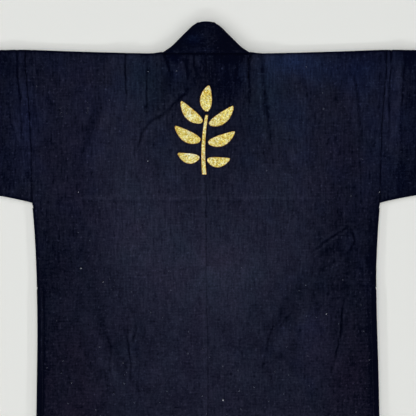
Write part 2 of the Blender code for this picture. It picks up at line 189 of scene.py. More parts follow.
# Creases: valleys that run through a few points (x, drop), with their width, depth and how soon they taper
# in and out, as shares of their length. All sizes in millimetres
Crease = collections.namedtuple("Crease", "name width depth fade_in fade_out points")
CREASES = table_of(Crease, [
    ("left_shoulder", 2.3, 1.6, 0.0, 0.5, [(-147, -8), (-149, 30), (-147, 78), (-150, 120)]),
    ("left_neck", 2.6, 1.15, 0.25, 0.3, [(-106, -4), (-108, 36), (-109, 84), (-106, 136)]),
    ("left_blade", 3.0, 1.3, 0.05, 0.35,
     [(-28, 60), (-56, 92), (-72, 108), (-92, 119), (-116, 144), (-143, 218)]),
    ("left_blade_spur", 2.6, 0.5, 0.2, 0.6, [(-64, 100), (-84, 104), (-100, 98)]),
    ("left_armhole_slant", 8.0, 0.6, 0.25, 0.35,
     [(-184, 58), (-189, 84), (-206, 122), (-218, 154), (-237, 214), (-245, 252)]),
    ("left_allowance", 2.3, 1.2, 0.0, 0.3, [(-347, -4), (-346, 38), (-342, 85), (-340, 131), (-335, 180)]),
    ("right_neck", 2.8, 1.1, 0.0, 0.4, [(78, 4), (79, 36), (81, 76), (84, 112)]),
    ("right_shoulder", 4.4, 1.15, 0.0, 0.5, [(98, -6), (105, 42), (110, 94), (117, 143), (124, 225)]),
    ("right_blade", 3.0, 0.6, 0.0, 0.6, [(169, -4), (176, 45), (187, 82), (206, 128), (216, 170)]),
    ("right_armhole", 3.0, 1.05, 0.2, 0.4, [(270, 30), (277, 70), (281, 110), (284, 150), (285, 200)]),
    ("right_allowance", 2.1, 1.35, 0.0, 0.7,
     [(340, -4), (340, 30), (337, 62), (336, 95), (337, 140), (336, 200)]),
    ("right_sleeve_line", 1.8, 0.6, 0.0, 0.5, [(347, 4), (342, 60), (337, 120), (332, 190)]),
    ("left_seam_line", 1.8, 0.5, 0.0, 0.4, [(-321, -4), (-318, 50), (-315, 110), (-316, 170)]),
    ("left_underarm", 8.0, 0.6, 0.3, 0.5, [(-274, 290), (-255, 320), (-228, 356)]),
    ("right_underarm", 2.3, 1.35, 0.1, 0.2, [(264, 314), (250, 325), (230, 338), (208, 354), (192, 364)]),
    ("right_waist", 2.2, 1.1, 0.15, 0.35, [(259, 320), (269, 330), (272, 345), (262, 362), (247, 377)]),
    ("right_waist_low", 3.6, 0.7, 0.3, 0.4, [(256, 360), (238, 380), (214, 394), (200, 408)]),
    ("right_side", 2.0, 1.2, 0.3, 0.3, [(257, 434), (250, 466), (246, 503), (240, 538), (222, 602)]),
    ("right_side_spur", 2.2, 0.6, 0.3, 0.5, [(266, 452), (270, 490), (262, 530)]),
    ("right_swag", 8.5, 0.45, 0.2, 0.2, [(186, 424), (152, 448), (134, 486), (112, 530), (92, 600)]),
    ("right_swag_edge", 2.3, 0.7, 0.3, 0.3, [(140, 480), (120, 505), (108, 545), (100, 590)]),
    ("right_swag_branch", 2.2, 0.6, 0.3, 0.4, [(164, 470), (140, 492), (124, 522)]),
    ("left_swag", 8.5, 0.4, 0.2, 0.3, [(-218, 452), (-196, 498), (-176, 548), (-140, 610), (-120, 655)]),
    ("left_fall", 2.2, 1.2, 0.2, 0.3, [(-147, 488), (-146, 530), (-141, 570), (-143, 615)]),
    ("left_fall_branch", 2.1, 1.1, 0.2, 0.3, [(-129, 488), (-134, 515), (-143, 540)]),
    ("left_fall_outer", 2.2, 0.9, 0.2, 0.3, [(-188, 505), (-178, 540), (-180, 580), (-166, 610)]),
    ("left_fall_inner", 2.2, 0.7, 0.3, 0.4, [(-120, 560), (-128, 596), (-124, 640)]),
    ("back_dimple", 9.0, 0.5, 0.4, 0.4, [(-32, 520), (-14, 530), (6, 524)]),
    ("left_sleeve_fall", 3.0, 0.8, 0.1, 0.5, [(-398, -4), (-404, 80), (-398, 170)]),
    ("left_sleeve_slant", 2.6, 0.8, 0.3, 0.4, [(-368, 75), (-360, 108), (-352, 142), (-341, 190)]),
    ("right_sleeve_fall", 2.6, 0.8, 0.0, 0.5, [(365, -4), (363, 50), (357, 120), (352, 190)]),
    ("right_sleeve_slant", 3.4, 0.9, 0.3, 0.4, [(412, 60), (440, 130), (446, 205)]),
    ("skirt_left_fall", 3.0, 1.0, 0.3, 0.4, [(-96, 668), (-84, 740), (-90, 812)]),
    ("skirt_right_fall", 3.0, 1.0, 0.3, 0.4, [(84, 660), (70, 730), (74, 806)]),
    ("skirt_right_slant", 2.8, 1.0, 0.3, 0.3, [(232, 640), (206, 700), (212, 770)]),
    ("skirt_left_slant", 2.8, 1.0, 0.3, 0.3, [(-236, 650), (-214, 710), (-220, 780)]),
    ("right_tack", 1.9, 0.7, 0.1, 0.5, [(306, 426), (290, 427), (272, 425), (258, 427)]),
    ("neck_far_left", 3.2, 1.15, 0.0, 0.4, [(-72, 2), (-72, 14), (-69, 27), (-62, 46)]),
    ("neck_left", 3.4, 1.25, 0.1, 0.5, [(-37, 8), (-36, 28), (-32, 56)]),
    ("neck_inner_left", 2.4, 1.2, 0.0, 0.5, [(-20, 0), (-21, 16), (-19, 38)]),
    ("neck_middle", 2.8, 0.6, 0.0, 0.5, [(-7, 0), (-4, 26)]),
    ("neck_inner_right", 2.8, 0.7, 0.0, 0.5, [(14, 0), (17, 32)]),
    ("neck_right", 3.0, 1.0, 0.2, 0.4, [(37, 16), (36, 34), (36, 56)]),
    ("neck_far_right", 2.6, 1.1, 0.2, 0.4, [(58, 10), (56, 34), (53, 62)]),
])

# Steps along a crease, and how far it is worked out to each side, in widths
CREASE_SAMPLE = 3 * MM
CREASE_MARGIN = 5

# A crease's low shoulders, in shares of its depth and its width, and how it wanders and varies along its run
CREASE_SHOULDER = 0.35
CREASE_SHOULDER_REACH = 2.1
CREASE_WANDER_SHARE = 0.35
CREASE_WANDER_LEAST = 0.2 * MM
CREASE_WANDERS = [Lumps(1.0, 11 * MM, MM, 8), Lumps(1.6, 31 * MM, MM, 9)]
CREASE_LEVEL = 0.85
CREASE_UNEVEN = Lumps(0.4, 15 * MM, MM, 10)

# Crumples: sharp little valleys all over, finer and finer, and where they are deepest. Sizes in
# millimetres
Crumple = collections.namedtuple("Crumple", "size_x size_drop height seed")
CRUMPLES = [Crumple(40, 72, 0.9, 3), Crumple(19, 36, 0.7, 4), Crumple(10, 18, 0.5, 6)]
Spot = collections.namedtuple("Spot", "name x drop radius_x radius_drop amount")
CRUMPLED_SPOTS = table_of(Spot, [
    ("right_waist", 235, 375, 75, 95, 0.9),
    ("right_swag", 120, 520, 80, 110, 0.8),
    ("left_swag", -150, 540, 85, 100, 0.9),
    ("left_underarm", -265, 340, 60, 80, 0.4),
    ("skirt", 0, 760, 330, 130, 0.6),
    ("left_shoulder", -120, 60, 80, 70, 0.3),
    ("right_armhole", 310, 110, 50, 130, 0.4),
    ("left_armhole", -320, 120, 50, 120, 0.5),
])

# How deep crumples are outside those spots and at most, as factors of their height, the level of noise at
# which their valleys end, and how the lines of the valleys bend
CRUMPLE_EVERYWHERE = 0.4
MOST_CRUMPLED = 1.3
CRUMPLE_CAP = 0.5
CRUMPLE_WARP = Lumps(0.4, 30 * MM, 30 * MM, 20)

# Creases and crumples are lower where the cloth is pressed down: the higher this is, the more is left there
CREASED_LIFT = 0.2

# Cells after which the noise repeats, and the factor that brings it to about -1 to 1
NOISE_CELLS = 61
NOISE_GAIN = 1.6

# A ridge pressed across the back, level with the sleeves' lower seams, and the line below it
PRESSED_DROP = 265 * MM
PRESSED_SPAN = (-246 * MM, 212 * MM)
PRESSED_FADE = 30 * MM
PRESSED_HEIGHT = 0.5 * MM
PRESSED_WIDTH = 4 * MM
PRESSED_LINE_BELOW = 6 * MM
PRESSED_LINE_WIDTH = 2 * MM
PRESSED_LINE_SHARE = 0.9
PRESSED_WANDER = Lumps(0.8 * MM, 26 * MM, 400 * MM, 12)

# Seam allowances show as low steps: beside the centre seam, and tapering down the armholes, whose seams lie
# in a groove. A zone is the drop below which something holds, and the slope over which it begins
ALLOWANCE_STEP = 0.45 * MM
CENTRE_ALLOWANCE = 9 * MM
CENTRE_ALLOWANCE_START = 1.2 * MM
CENTRE_ALLOWANCE_EDGE = 3 * MM
CENTRE_ALLOWANCE_LEVEL = 0.65
CENTRE_ALLOWANCE_LUMPS = Lumps(0.5, 9 * MM, 8 * MM, 13)
ARMHOLE_ALLOWANCE = 15 * MM
ARMHOLE_ALLOWANCE_END = 200 * MM
ARMHOLE_ALLOWANCE_EDGE = 2.5 * MM
UNDERARM_ZONE = (UNDERARM_DROP, 8 * MM)
GROOVE_DEPTH = 0.45 * MM
GROOVE_WIDTH = 2 * MM

# Hems are turned in twice, so the cloth is thicker along the vents, the foot and the cuffs
VENT_HEM = 12 * MM
FOOT_HEM = 20 * MM
CUFF_HEM = 15 * MM
HEM_STEP = 0.4 * MM
HEM_EDGE = 2 * MM
VENT_ZONE = (VENT_DROP, 4 * MM)

# The part of the back that carries the sprig lies flat
SPRIG_HALF = 62 * MM
SPRIG_TOP_DROP = 48 * MM
SPRIG_FOOT_DROP = 232 * MM
SPRIG_BORDER = 16 * MM

# Grid steps of the cloth: across and along the back, and along the hidden lower layer
FINE_ACROSS = 2.2 * MM
FINE_ALONG = 3.1 * MM
COARSE_ALONG = 40 * MM
FOLD_ROWS = 8
SIDE_TURNS = 5


def smooth(share):
    """0 below 0, 1 above 1, and an even rise between."""
    share = np.clip(share, 0.0, 1.0)
    return share * share * (3 - 2 * share)


def mix(low, high, share):
    return low + (high - low) * share


def bell(distance, width):
    return np.exp(-((distance / width) ** 2))


def step(inside, slope):
    """1 where inside is well above 0 and 0 where it is below, over a narrow slope."""
    return smooth(inside / slope + 0.5)


def below(y, drop, slope):
    """1 below a drop and 0 above it, over a narrow slope."""
    return step(-y - drop, slope)


def along_table(table, value):
    """The second column of a table in millimetres at values of its first, with smooth slopes."""
    keys, out = np.array(table).T * MM
    slopes = np.empty_like(out)
    slopes[1:-1] = (out[2:] - out[:-2]) / (keys[2:] - keys[:-2])
    slopes[[0, -1]] = (out[[1, -1]] - out[[0, -2]]) / (keys[[1, -1]] - keys[[0, -2]])
    value = np.clip(value, keys[0], keys[-1])
    i = np.clip(np.searchsorted(keys, value) - 1, 0, len(keys) - 2)
    gap, rise = keys[i + 1] - keys[i], out[i + 1] - out[i]
    t = (value - keys[i]) / gap
    bend = (slopes[i] * gap - rise) * (1 - t) - (slopes[i + 1] * gap - rise) * t
    return out[i] + rise * t + bend * t * (1 - t)


def noise(x, y, size_x, size_y, seed):
    """Gradient noise from about -1 to 1, with lumps of this size."""
    angles = np.random.default_rng(seed).uniform(0, 2 * math.pi, (NOISE_CELLS, NOISE_CELLS))
    u, v = x / size_x, y / size_y
    i, j = np.floor(u).astype(int), np.floor(v).astype(int)
    u, v = u - i, v - j

    def corner(right, up):
        angle = angles[(i + right) % NOISE_CELLS, (j + up) % NOISE_CELLS]
        return np.cos(angle) * (u - right) + np.sin(angle) * (v - up)

    near = mix(corner(0, 0), corner(1, 0), smooth(u))
    far = mix(corner(0, 1), corner(1, 1), smooth(u))
    return NOISE_GAIN * mix(near, far, smooth(v))


def lumpy(lumps, x, y):
    """Noise with these lumps."""
    return lumps.amount * noise(x, y, lumps.size_x, lumps.size_y, lumps.seed)


def half_width(y):
    """Half the body's width, from the centre back seam to the armhole seam or the side."""
    return along_table(SIDE_EDGES, -y)


def shoulder_y(reach):
    """The shoulder fold, at a distance from the centre."""
    return along_table(SHOULDER_RISES, reach)


def past_armhole(x, y):
    """Distance out from the armhole seam, and from the underarm corner below it."""
    return np.abs(x) - half_width(np.maximum(y, -UNDERARM_DROP))


def sleeve_foot_y(reach):
    """The sleeve's lower edge."""
    past_underarm = np.maximum(reach - half_width(-UNDERARM_DROP), 0)
    return -CUFF_DROP - SLEEVE_EASE * np.exp(-past_underarm / SLEEVE_EASE_LENGTH)


def faded(amount, line, share):
    """The amount, less of it toward the ends at which a fold or crease fades."""
    if line.fade_in:
        amount = amount * smooth(share / line.fade_in)
    if line.fade_out:
        amount = amount * smooth((1 - share) / line.fade_out)
    return amount


def fold_height(fold, x, y):
    """Height that one fold adds, from the nearest place on its arc."""
    start = np.array([fold.x0, -fold.drop0]) * MM
    run = np.array([fold.x1, -fold.drop1]) * MM - start
    length = np.hypot(*run)
    share = ((x - start[0]) * run[0] + (y - start[1]) * run[1]) / length**2
    side = (run[0] * (y - start[1]) - run[1] * (x - start[0])) / length
    away = side - fold.bow * MM * 4 * share * (1 - share)
    on_arc = ((share >= 0) & (share <= 1)).astype(float)
    return fold.height * MM * faded(on_arc, fold, share) * bell(away, fold.width * MM)


def curve_through(points):
    """A smooth curve through a few points in millimetres, as closely spaced points in metres."""
    knots = np.array(points) * (MM, -MM)
    padded = np.concatenate([[2 * knots[0] - knots[1]], knots, [2 * knots[-1] - knots[-2]]])
    pieces = []
    for before, start, end, after in zip(padded, padded[1:], padded[2:], padded[3:]):
        count = max(round(np.hypot(*(end - start)) / CREASE_SAMPLE), 1)
        t = np.arange(count)[:, None] / count
        bend = (2 * before - 5 * start + 4 * end - after) * t**2
        bend += (3 * start - before - 3 * end + after) * t**3
        pieces.append(start + ((end - before) * t + bend) / 2)
    return np.concatenate(pieces + [knots[-1:]])


def crease_height(crease, x, y):
    """A valley along an uneven line, with a low shoulder on each side."""
    width = crease.width * MM
    line = curve_through(crease.points)
    run = np.gradient(line, axis=0)
    run /= np.hypot(*run.T)[:, None]
    reach = np.concatenate([[0], np.cumsum(np.hypot(*np.diff(line, axis=0).T))])
    wander = sum(lumpy(lumps, reach, np.full_like(reach, line[0, 0])) for lumps in CREASE_WANDERS)
    wander = (CREASE_WANDER_SHARE * width + CREASE_WANDER_LEAST) * wander
    line = line + wander[:, None] * run[:, ::-1] * (-1, 1)
    low, high = line.min(0) - CREASE_MARGIN * width, line.max(0) + CREASE_MARGIN * width
    near = (x > low[0]) & (x < high[0]) & (y > low[1]) & (y < high[1])
    if not near.any():
        return np.zeros_like(x)
    spots = np.stack([x[near], y[near]], -1)
    closest = np.full(len(spots), np.inf)
    share = np.zeros(len(spots))
    for i, (start, end) in enumerate(zip(line, line[1:])):
        t = np.clip((spots - start) @ (end - start) / np.sum((end - start) ** 2), 0, 1)
        away = np.hypot(*(spots - start - t[:, None] * (end - start)).T)
        nearer = away < closest
        closest[nearer] = away[nearer]
        share[nearer] = ((reach[i] + t * (reach[i + 1] - reach[i])) / reach[-1])[nearer]
    uneven = CREASE_LEVEL + lumpy(CREASE_UNEVEN, share * reach[-1], np.full_like(share, line[0, 1]))
    shoulder = bell(closest - CREASE_SHOULDER_REACH * width, width)
    profile = bell(closest, width) - CREASE_SHOULDER * shoulder
    height = np.zeros_like(x)
    height[near] = -crease.depth * MM * faded(uneven, crease, share) * profile
    return height


def crumple_height(x, y):
    """Sharp small valleys, deeper in some spots than in others."""
    amount = CRUMPLE_EVERYWHERE
    for spot in CRUMPLED_SPOTS:
        amount = amount + spot.amount * spot_share(spot, x, y)
    total = np.zeros_like(x)
    for crumple in CRUMPLES:
        warp = lumpy(CRUMPLE_WARP._replace(seed=CRUMPLE_WARP.seed + crumple.seed), x, y)
        warp = warp * crumple.size_x * MM
        lumps = noise(x + warp, y, crumple.size_x * MM, crumple.size_drop * MM, crumple.seed)
        total += crumple.height * MM * (np.minimum(np.abs(lumps), CRUMPLE_CAP) - CRUMPLE_CAP / 2)
    return total * np.minimum(amount, MOST_CRUMPLED)


def spot_share(spot, x, y):
    """1 in the middle of a spot, 0 well outside it."""
    across = (x / MM - spot.x) / spot.radius_x
    along = (-y / MM - spot.drop) / spot.radius_drop
    return np.exp(-(across**2) - along**2)


def sprig_zone(x, y):
    """1 on the flat part of the back that carries the sprig, 0 well away from it."""
    across = smooth((SPRIG_HALF + SPRIG_BORDER - np.abs(x)) / SPRIG_BORDER)
    over_foot = smooth((SPRIG_FOOT_DROP + SPRIG_BORDER + y) / SPRIG_BORDER)
    under_top = smooth((-SPRIG_TOP_DROP + SPRIG_BORDER - y) / SPRIG_BORDER)
    return across * over_foot * under_top


def inside_neck(x):
    """1 between the neck's corners, 0 outside them."""
    return 1 - smooth((np.abs(x) - NECK_HALF + NECK_REACH) / NECK_SLOPE)


def neckline_zone(x, y):
    """1 where the back is tucked between the two layers of the collar, 0 away from the neck."""
    return inside_neck(x) * (1 - smooth(-y / NECK_DEPTH))


def neck_calm(x, y):
    """0 where the back is tucked into the collar, 1 a few millimetres below the seam."""
    return 1 - inside_neck(x) * (1 - smooth((-y - CALM_START) / CALM_SLOPE))


def folds(x, y):
    return sum(fold_height(fold, x, y) for fold in FOLDS)


def creases(x, y):
    return sum(crease_height(crease, x, y) for crease in CREASES)


def lift_of(x, y):
    """How far the upper layer floats above the lower one."""
    reach = np.abs(x)
    on_body = reach < half_width(y) + JOIN_GAP
    at_side = 1 - smooth((half_width(y) - reach) / SIDE_SLOPE)
    at_side = at_side * smooth((-y - UNDERARM_DROP + UNDERARM_REACH) / UNDERARM_SLOPE) * on_body
    lift = mix(LIFT, SIDE_LIFT, at_side)
    lift = lift * mix(HEM_SHARE, 1, smooth((y + HEM_DROP) / HEM_SLOPE))
    lift = lift * mix(CUFF_SHARE, 1, smooth((CUFF_REACH - reach) / CUFF_SLOPE))
    return lift * (1 - NECK_SINK * neckline_zone(x, y))


def upper_height(x, y):
    """Height of the middle of the upper layer: the back and the upper side of the sleeves."""
    lift = lift_of(x, y)
    resting = mix(ON_BAND, ON_FRONT, smooth((np.abs(x) - BAND_REACH) / BAND_SLOPE))
    soft = folds(x, y) * (1 - sprig_zone(x, y)) * (1 - neckline_zone(x, y)) * lift / LIFT
    hard = (creases(x, y) + crumple_height(x, y)) * neck_calm(x, y)
    hard = hard * smooth(lift / LIFT + CREASED_LIFT)
    return np.maximum(resting + lift + soft + hard, CLOTH + THIN / 2 + LEAST_GAP)


def groove(away):
    """The groove in which a seam lies."""
    return -GROOVE_DEPTH * bell(away, GROOVE_WIDTH)


def pressed_ridge(x, y):
    """The ridge pressed across the back, with the fine line below it."""
    low, high = PRESSED_SPAN
    span = smooth((x - low) / PRESSED_FADE) * smooth((high - x) / PRESSED_FADE)
    away = y + PRESSED_DROP + lumpy(PRESSED_WANDER, x, y)
    line = bell(away + PRESSED_LINE_BELOW, PRESSED_LINE_WIDTH)
    return PRESSED_HEIGHT * span * (bell(away, PRESSED_WIDTH) - PRESSED_LINE_SHARE * line)


def centre_allowance(x, y):
    """1 on the lumpy allowance to the left of the centre back seam."""
    lumps = CENTRE_ALLOWANCE_LEVEL + lumpy(CENTRE_ALLOWANCE_LUMPS, x, y)
    return lumps * step(-x, CENTRE_ALLOWANCE_START) * step(x + CENTRE_ALLOWANCE, CENTRE_ALLOWANCE_EDGE)


def hem_rise(x, y):
    """Height of the hems along the vents, the foot and the cuffs."""
    from_side = half_width(y) - np.abs(x)
    vent = below(y, *VENT_ZONE) * step(VENT_HEM - from_side, HEM_EDGE)
    foot = step(FOOT_HEM - HEM_DROP - y, HEM_EDGE)
    cuff = step(np.abs(x) - CUFF_REACH + CUFF_HEM, HEM_EDGE)
    return HEM_STEP * np.maximum(np.maximum(vent, foot), cuff)


def body_detail(x, y):
    """Seams, allowances and the pressed ridge on the back."""
    from_side = half_width(y) - np.abs(x)
    height = groove(x) + ALLOWANCE_STEP * centre_allowance(x, y)
    height += groove(from_side) * (1 - below(y, *UNDERARM_ZONE))
    return (height + pressed_ridge(x, y) + hem_rise(x, y)) * neck_calm(x, y)


def sleeve_allowance(x, y):
    """1 on the allowance that tapers down the outer side of the armhole seam."""
    width = ARMHOLE_ALLOWANCE * smooth((y + ARMHOLE_ALLOWANCE_END) / ARMHOLE_ALLOWANCE_END)
    return step(width - past_armhole(x, y), ARMHOLE_ALLOWANCE_EDGE)


def sleeve_detail(x, y):
    return groove(past_armhole(x, y)) + ALLOWANCE_STEP * sleeve_allowance(x, y) + hem_rise(x, y)


def lean(y):
    return along_table(LEAN, -y)


def in_world(x, y, z):
    """Points of the coat as laid, with its flared neck and its lean, in the frame."""
    flare = FLARE * bell(np.abs(x) - FLARE_REACH, FLARE_SPREAD) * bell(y, FLARE_HEIGHT)
    return np.stack([x + flare * np.sign(x) + lean(y), y + NECK_Y, z], -1)


# Slow changes of tone, partly the dye's real fading and partly painted light and shade: a painted sheen over
# the back's middle and the right shoulder, darker toward the sides, and painted shade in the swags, under
# the collar and beside its corners. A tone of 0 is the darkest indigo, 1 the palest. Places and radii in
# millimetres
Patch = collections.namedtuple("Patch", "name x drop radius_x radius_drop fade blue", defaults=[0.0])
BASE_FADE = 0.42
PATCHES = table_of(Patch, [
    # Painted sheen over the back's middle, partly faded dye
    ("back_centre", 14, 395, 150, 140, 0.62, -0.2),
    ("centre_painted_sheen", 38, 400, 62, 52, 0.24, -0.3),
    ("left_centre", -115, 395, 72, 80, 0.22, -0.15),
    ("left_blade", -138, 270, 70, 120, 0.44, -0.1),
    ("left_blade_top", -160, 130, 62, 70, 0.20, 0.1),
    ("beside_sprig", -58, 215, 34, 62, 0.20),
    ("right_blade", 146, 125, 56, 90, 0.22, 0.2),
    ("right_blade_low", 128, 245, 72, 62, 0.26),
    ("right_shoulder", 160, 18, 64, 28, 0.48, 0.8),
    ("left_shoulder", -140, 60, 80, 80, 0.18, 0.1),
    ("left_shoulder_top", -300, 20, 330, 40, -0.04, 0.1),
    ("right_shoulder_top", 290, 25, 70, 40, -0.08, 0.6),
    # Painted shade under the collar and in the tucks beside its corners
    ("under_collar_shade", -6, 37, 74, 48, -0.28, 0.1),
    ("neck_left_tuck_shade", -59, 9, 13, 9, -0.52, 0.5),
    ("neck_right_tuck_shade", 44, 8, 24, 9, -0.55),
    ("neck_left_low", -54, 36, 14, 16, 0.16, 0.2),
    ("neck_middle", -12, 20, 7, 19, 0.12, 0.1),
    ("neck_right_pale", 68, 36, 9, 22, 0.14, 0.3),
    ("above_sprig", 40, 74, 27, 38, -0.20, 0.2),
    ("right_side", 322, 430, 56, 290, -0.30, 0.1),
    ("left_side", -318, 480, 46, 290, -0.20),
    ("left_underarm", -262, 350, 50, 80, -0.14),
    ("right_waist", 238, 350, 62, 62, -0.23),
    # Painted shade in the right swag
    ("right_swag", 146, 502, 44, 76, -0.25),
    ("right_hip", 195, 530, 50, 60, 0.22, 0.15),
    ("skirt", -10, 645, 210, 95, 0.22, -0.2),
    ("left_foot_red", -250, 620, 60, 130, -0.05, -0.8),
    ("right_foot_red", 272, 600, 45, 110, -0.10, -0.9),
    ("right_sleeve", 430, 130, 60, 150, -0.03, 0.7),
    ("right_armhole", 318, 155, 46, 80, 0.18, 0.35),
    ("right_sleeve_foot", 346, 226, 15, 38, -0.16),
    ("right_underarm", 312, 316, 22, 34, -0.14),
    ("right_sleeve_top", 356, 4, 44, 12, -0.24),
    ("left_sleeve", -392, 150, 46, 150, -0.18, 0.3),
    ("left_armhole", -330, 130, 34, 130, 0.12, 0.35),
    ("left_sleeve_top", -352, 24, 34, 48, -0.24),
    ("left_sleeve_foot", -365, 230, 24, 22, -0.20),
    ("left_slant_side", -208, 136, 22, 66, -0.17),
    ("left_hip", -219, 425, 18, 80, -0.13),
    ("left_low", -80, 572, 46, 44, 0.18),
    ("foot_middle", 74, 620, 20, 34, -0.16),
    ("right_foot", 158, 622, 44, 44, 0.17),
    ("right_side_low", 250, 522, 24, 62, -0.24),
    ("right_swag_side", 210, 446, 30, 36, -0.26),
    ("right_hip_top", 292, 330, 20, 90, 0.16),
    ("right_of_centre", 168, 316, 32, 80, 0.19),
    ("centre_right", 122, 372, 30, 42, 0.15),
    ("right_blade_side", 168, 132, 18, 60, 0.10),
    ("right_armhole_top", 298, 46, 40, 32, 0.16, 0.1),
    ("right_sleeve_edge", 373, 140, 14, 60, 0.12),
    ("neck_right_side", 62, 32, 36, 36, -0.20),
    ("neck_left_corner", -72, 48, 14, 32, -0.32),
    ("right_vent_inside", 281, 566, 13, 34, 0.16),
    ("right_swag_foot", 106, 570, 18, 36, -0.16),
    ("middle_low", 34, 578, 34, 44, 0.13),
    ("right_edge", 306, 475, 12, 44, 0.22),
    ("left_foot", -128, 622, 26, 30, -0.14),
    ("left_vent", -307, 560, 8, 110, -0.22),
    ("left_underarm_top", -294, 244, 30, 30, 0.12),
    ("left_of_centre", -42, 438, 28, 24, 0.13),
    ("right_blade_pale", 108, 112, 14, 28, -0.14),
    ("left_blade_crease", -118, 104, 30, 22, -0.13),
])
# Slow changes of hue: above 0 the indigo turns to teal, below 0 to violet
TEALS = table_of(Spot, [
    ("left_blade", -108, 44, 52, 48, 0.75),
    ("right_shoulder", 118, 74, 44, 62, 0.6),
    ("right_blade", 160, 118, 34, 60, 0.4),
    ("left_shoulder", -255, 150, 80, 140, -0.55),
    ("right_armhole", 236, 190, 56, 120, -0.4),
    ("right_hip", 196, 540, 44, 56, -0.6),
    ("left_waist", -215, 305, 50, 50, -0.3),
    # The middle's two spots tint its painted sheen
    ("back_centre", 6, 410, 120, 110, 0.14),
    ("centre_painted_sheen", 30, 390, 50, 50, 0.10),
])
LOWER_FADE = 0.3
COLLAR_FADE = -0.04

# Tone from the relief for each metre of height: paler on raised folds, partly real fading and partly painted
# light; painted shade in creases; painted light and shade on crumples; and on the pressed ridge a painted
# highlight, with painted shade in the line below it
FOLD_FADE_AND_LIGHT = 0.06 / MM
CREASE_SHADE = 0.40 / MM
CRUMPLE_LIGHT_AND_SHADE = 0.38 / MM
RIDGE_LIGHT_AND_SHADE = 0.45 / MM

# How dark a seam is, painted shade in its groove, how wide its line, and how uneven it is along its length
SEAM_SHADE = 0.5
SEAM_LINE = 1.6 * MM
BODY_SEAM_LUMPS = Lumps(0.8, 90 * MM, 12 * MM, 19)
SLEEVE_SEAM_LUMPS = Lumps(0.8, 90 * MM, 12 * MM, 20)
ARMHOLE_SEAM_SHARE = 0.7
ARMHOLE_ALLOWANCE_PALE = 0.1

# The centre seam's darkness, painted shade, above and inside its zone, where its pale allowance shows too,
# painted light on the lumps it raises. The seam is weaker again toward the foot
CENTRE_ALLOWANCE_PALE = 0.3
CENTRE_SEAM_SHARES = (0.3, 0.9)
CENTRE_ZONE = (230 * MM, 60 * MM)
CENTRE_FOOT_ZONE = (520 * MM, 120 * MM)
CENTRE_FOOT_LOST = 0.6

# Painted shade: the cloth darkens toward its folded edges, where they round away, and along the sewn sides.
# The neck seam, where the back goes under the collar, and the hems' lines, in their grooves, are dark with
# painted shade
EDGE_SHADE = 0.5
EDGE_START = 2 * MM
EDGE_WIDTH = 3 * MM
SIDE_SHADE = 1.0
SIDE_WIDTH = 3.6 * MM
VENT_EDGE = 1.5 * MM
NECK_SHADE = 0.5
NECK_LINE = 1.7 * MM
NECK_LINE_END = 6 * MM
HEM_SHADE = 0.4
HEM_LINE = 2 * MM

# Stripes along the vents' hems, painted light on the hems' ridges and painted shade in their grooves: insets
# from the edge and widths in millimetres, and tones, where a foot value is one that holds near the coat's
# foot
Stripe = collections.namedtuple("Stripe", "name side inset foot_inset width tone foot_tone")
STRIPES = table_of(Stripe, [
    ("left_pale", -1, 7.6, 7.6, 1.8, 0.36, 0.0),
    ("left_hem", -1, 12, 9.5, 2.4, -0.4, -0.4),
    ("left_foot", -1, 11, 11, 5, 0.0, -0.2),
    ("right_pale", 1, 3, 3, 1.4, 0.18, 0.18),
    ("right_hem", 1, 6.6, 6.6, 2.2, -0.4, -0.4),
])
STRIPE_FOOT_ZONE = (590 * MM, 30 * MM)

# The right side seam's wide allowance
WIDE_ALLOWANCE = 17.5 * MM
WIDE_ALLOWANCE_EDGE = 3 * MM
WIDE_ALLOWANCE_SHADE = 0.2
WIDE_ALLOWANCE_ZONE = (345 * MM, 60 * MM)

# The right sleeve is darker past a soft fold, painted shade where it turns from the light, and the fold has
# a pale crest, a painted highlight
SLEEVE_FOLD_X = 362 * MM
SLEEVE_FOLD_LEAN = 0.045
SLEEVE_FOLD_SLOPE = 6 * MM
SLEEVE_FOLD_SHADE = 0.26
SLEEVE_CREST_INSET = 10 * MM
SLEEVE_CREST_WIDTH = 8 * MM
SLEEVE_CREST_SHARE = 0.4


def dye(x, y, base=BASE_FADE, patches=PATCHES):
    """How pale the cloth is, partly faded dye and partly painted light and shade, how blue (above 0) or red
    (below 0) it looks, and how teal.
    """
    fade, blue = np.full_like(x, base), np.zeros_like(x)
    for patch in patches:
        share = spot_share(patch, x, y)
        fade += patch.fade * share
        blue += patch.blue * share
    return fade, blue, sum(spot.amount * spot_share(spot, x, y) for spot in TEALS)


def fold_fade_and_crease_shade(x, y):
    """Paler on raised folds, partly faded dye and partly painted light, with painted shade in the creases
    and painted light and shade on the crumples.
    """
    calm = neck_calm(x, y)
    band_line_relief = FOLD_FADE_AND_LIGHT * folds(x, y) * (1 - sprig_zone(x, y)) * calm
    return band_line_relief + (CREASE_SHADE * creases(x, y) + CRUMPLE_LIGHT_AND_SHADE * crumple_height(x, y)) * calm


def edge_shade(inside):
    """How much darker the cloth is toward a folded edge that lies this far away: painted shade where the
    edge rounds away.
    """
    return -EDGE_SHADE * bell(np.maximum(inside - EDGE_START, 0), EDGE_WIDTH)


def seam_shade(x, y, lumps):
    """Painted shade along the seams' grooves, uneven along their length."""
    return SEAM_SHADE * (1 + lumpy(lumps, x, y))


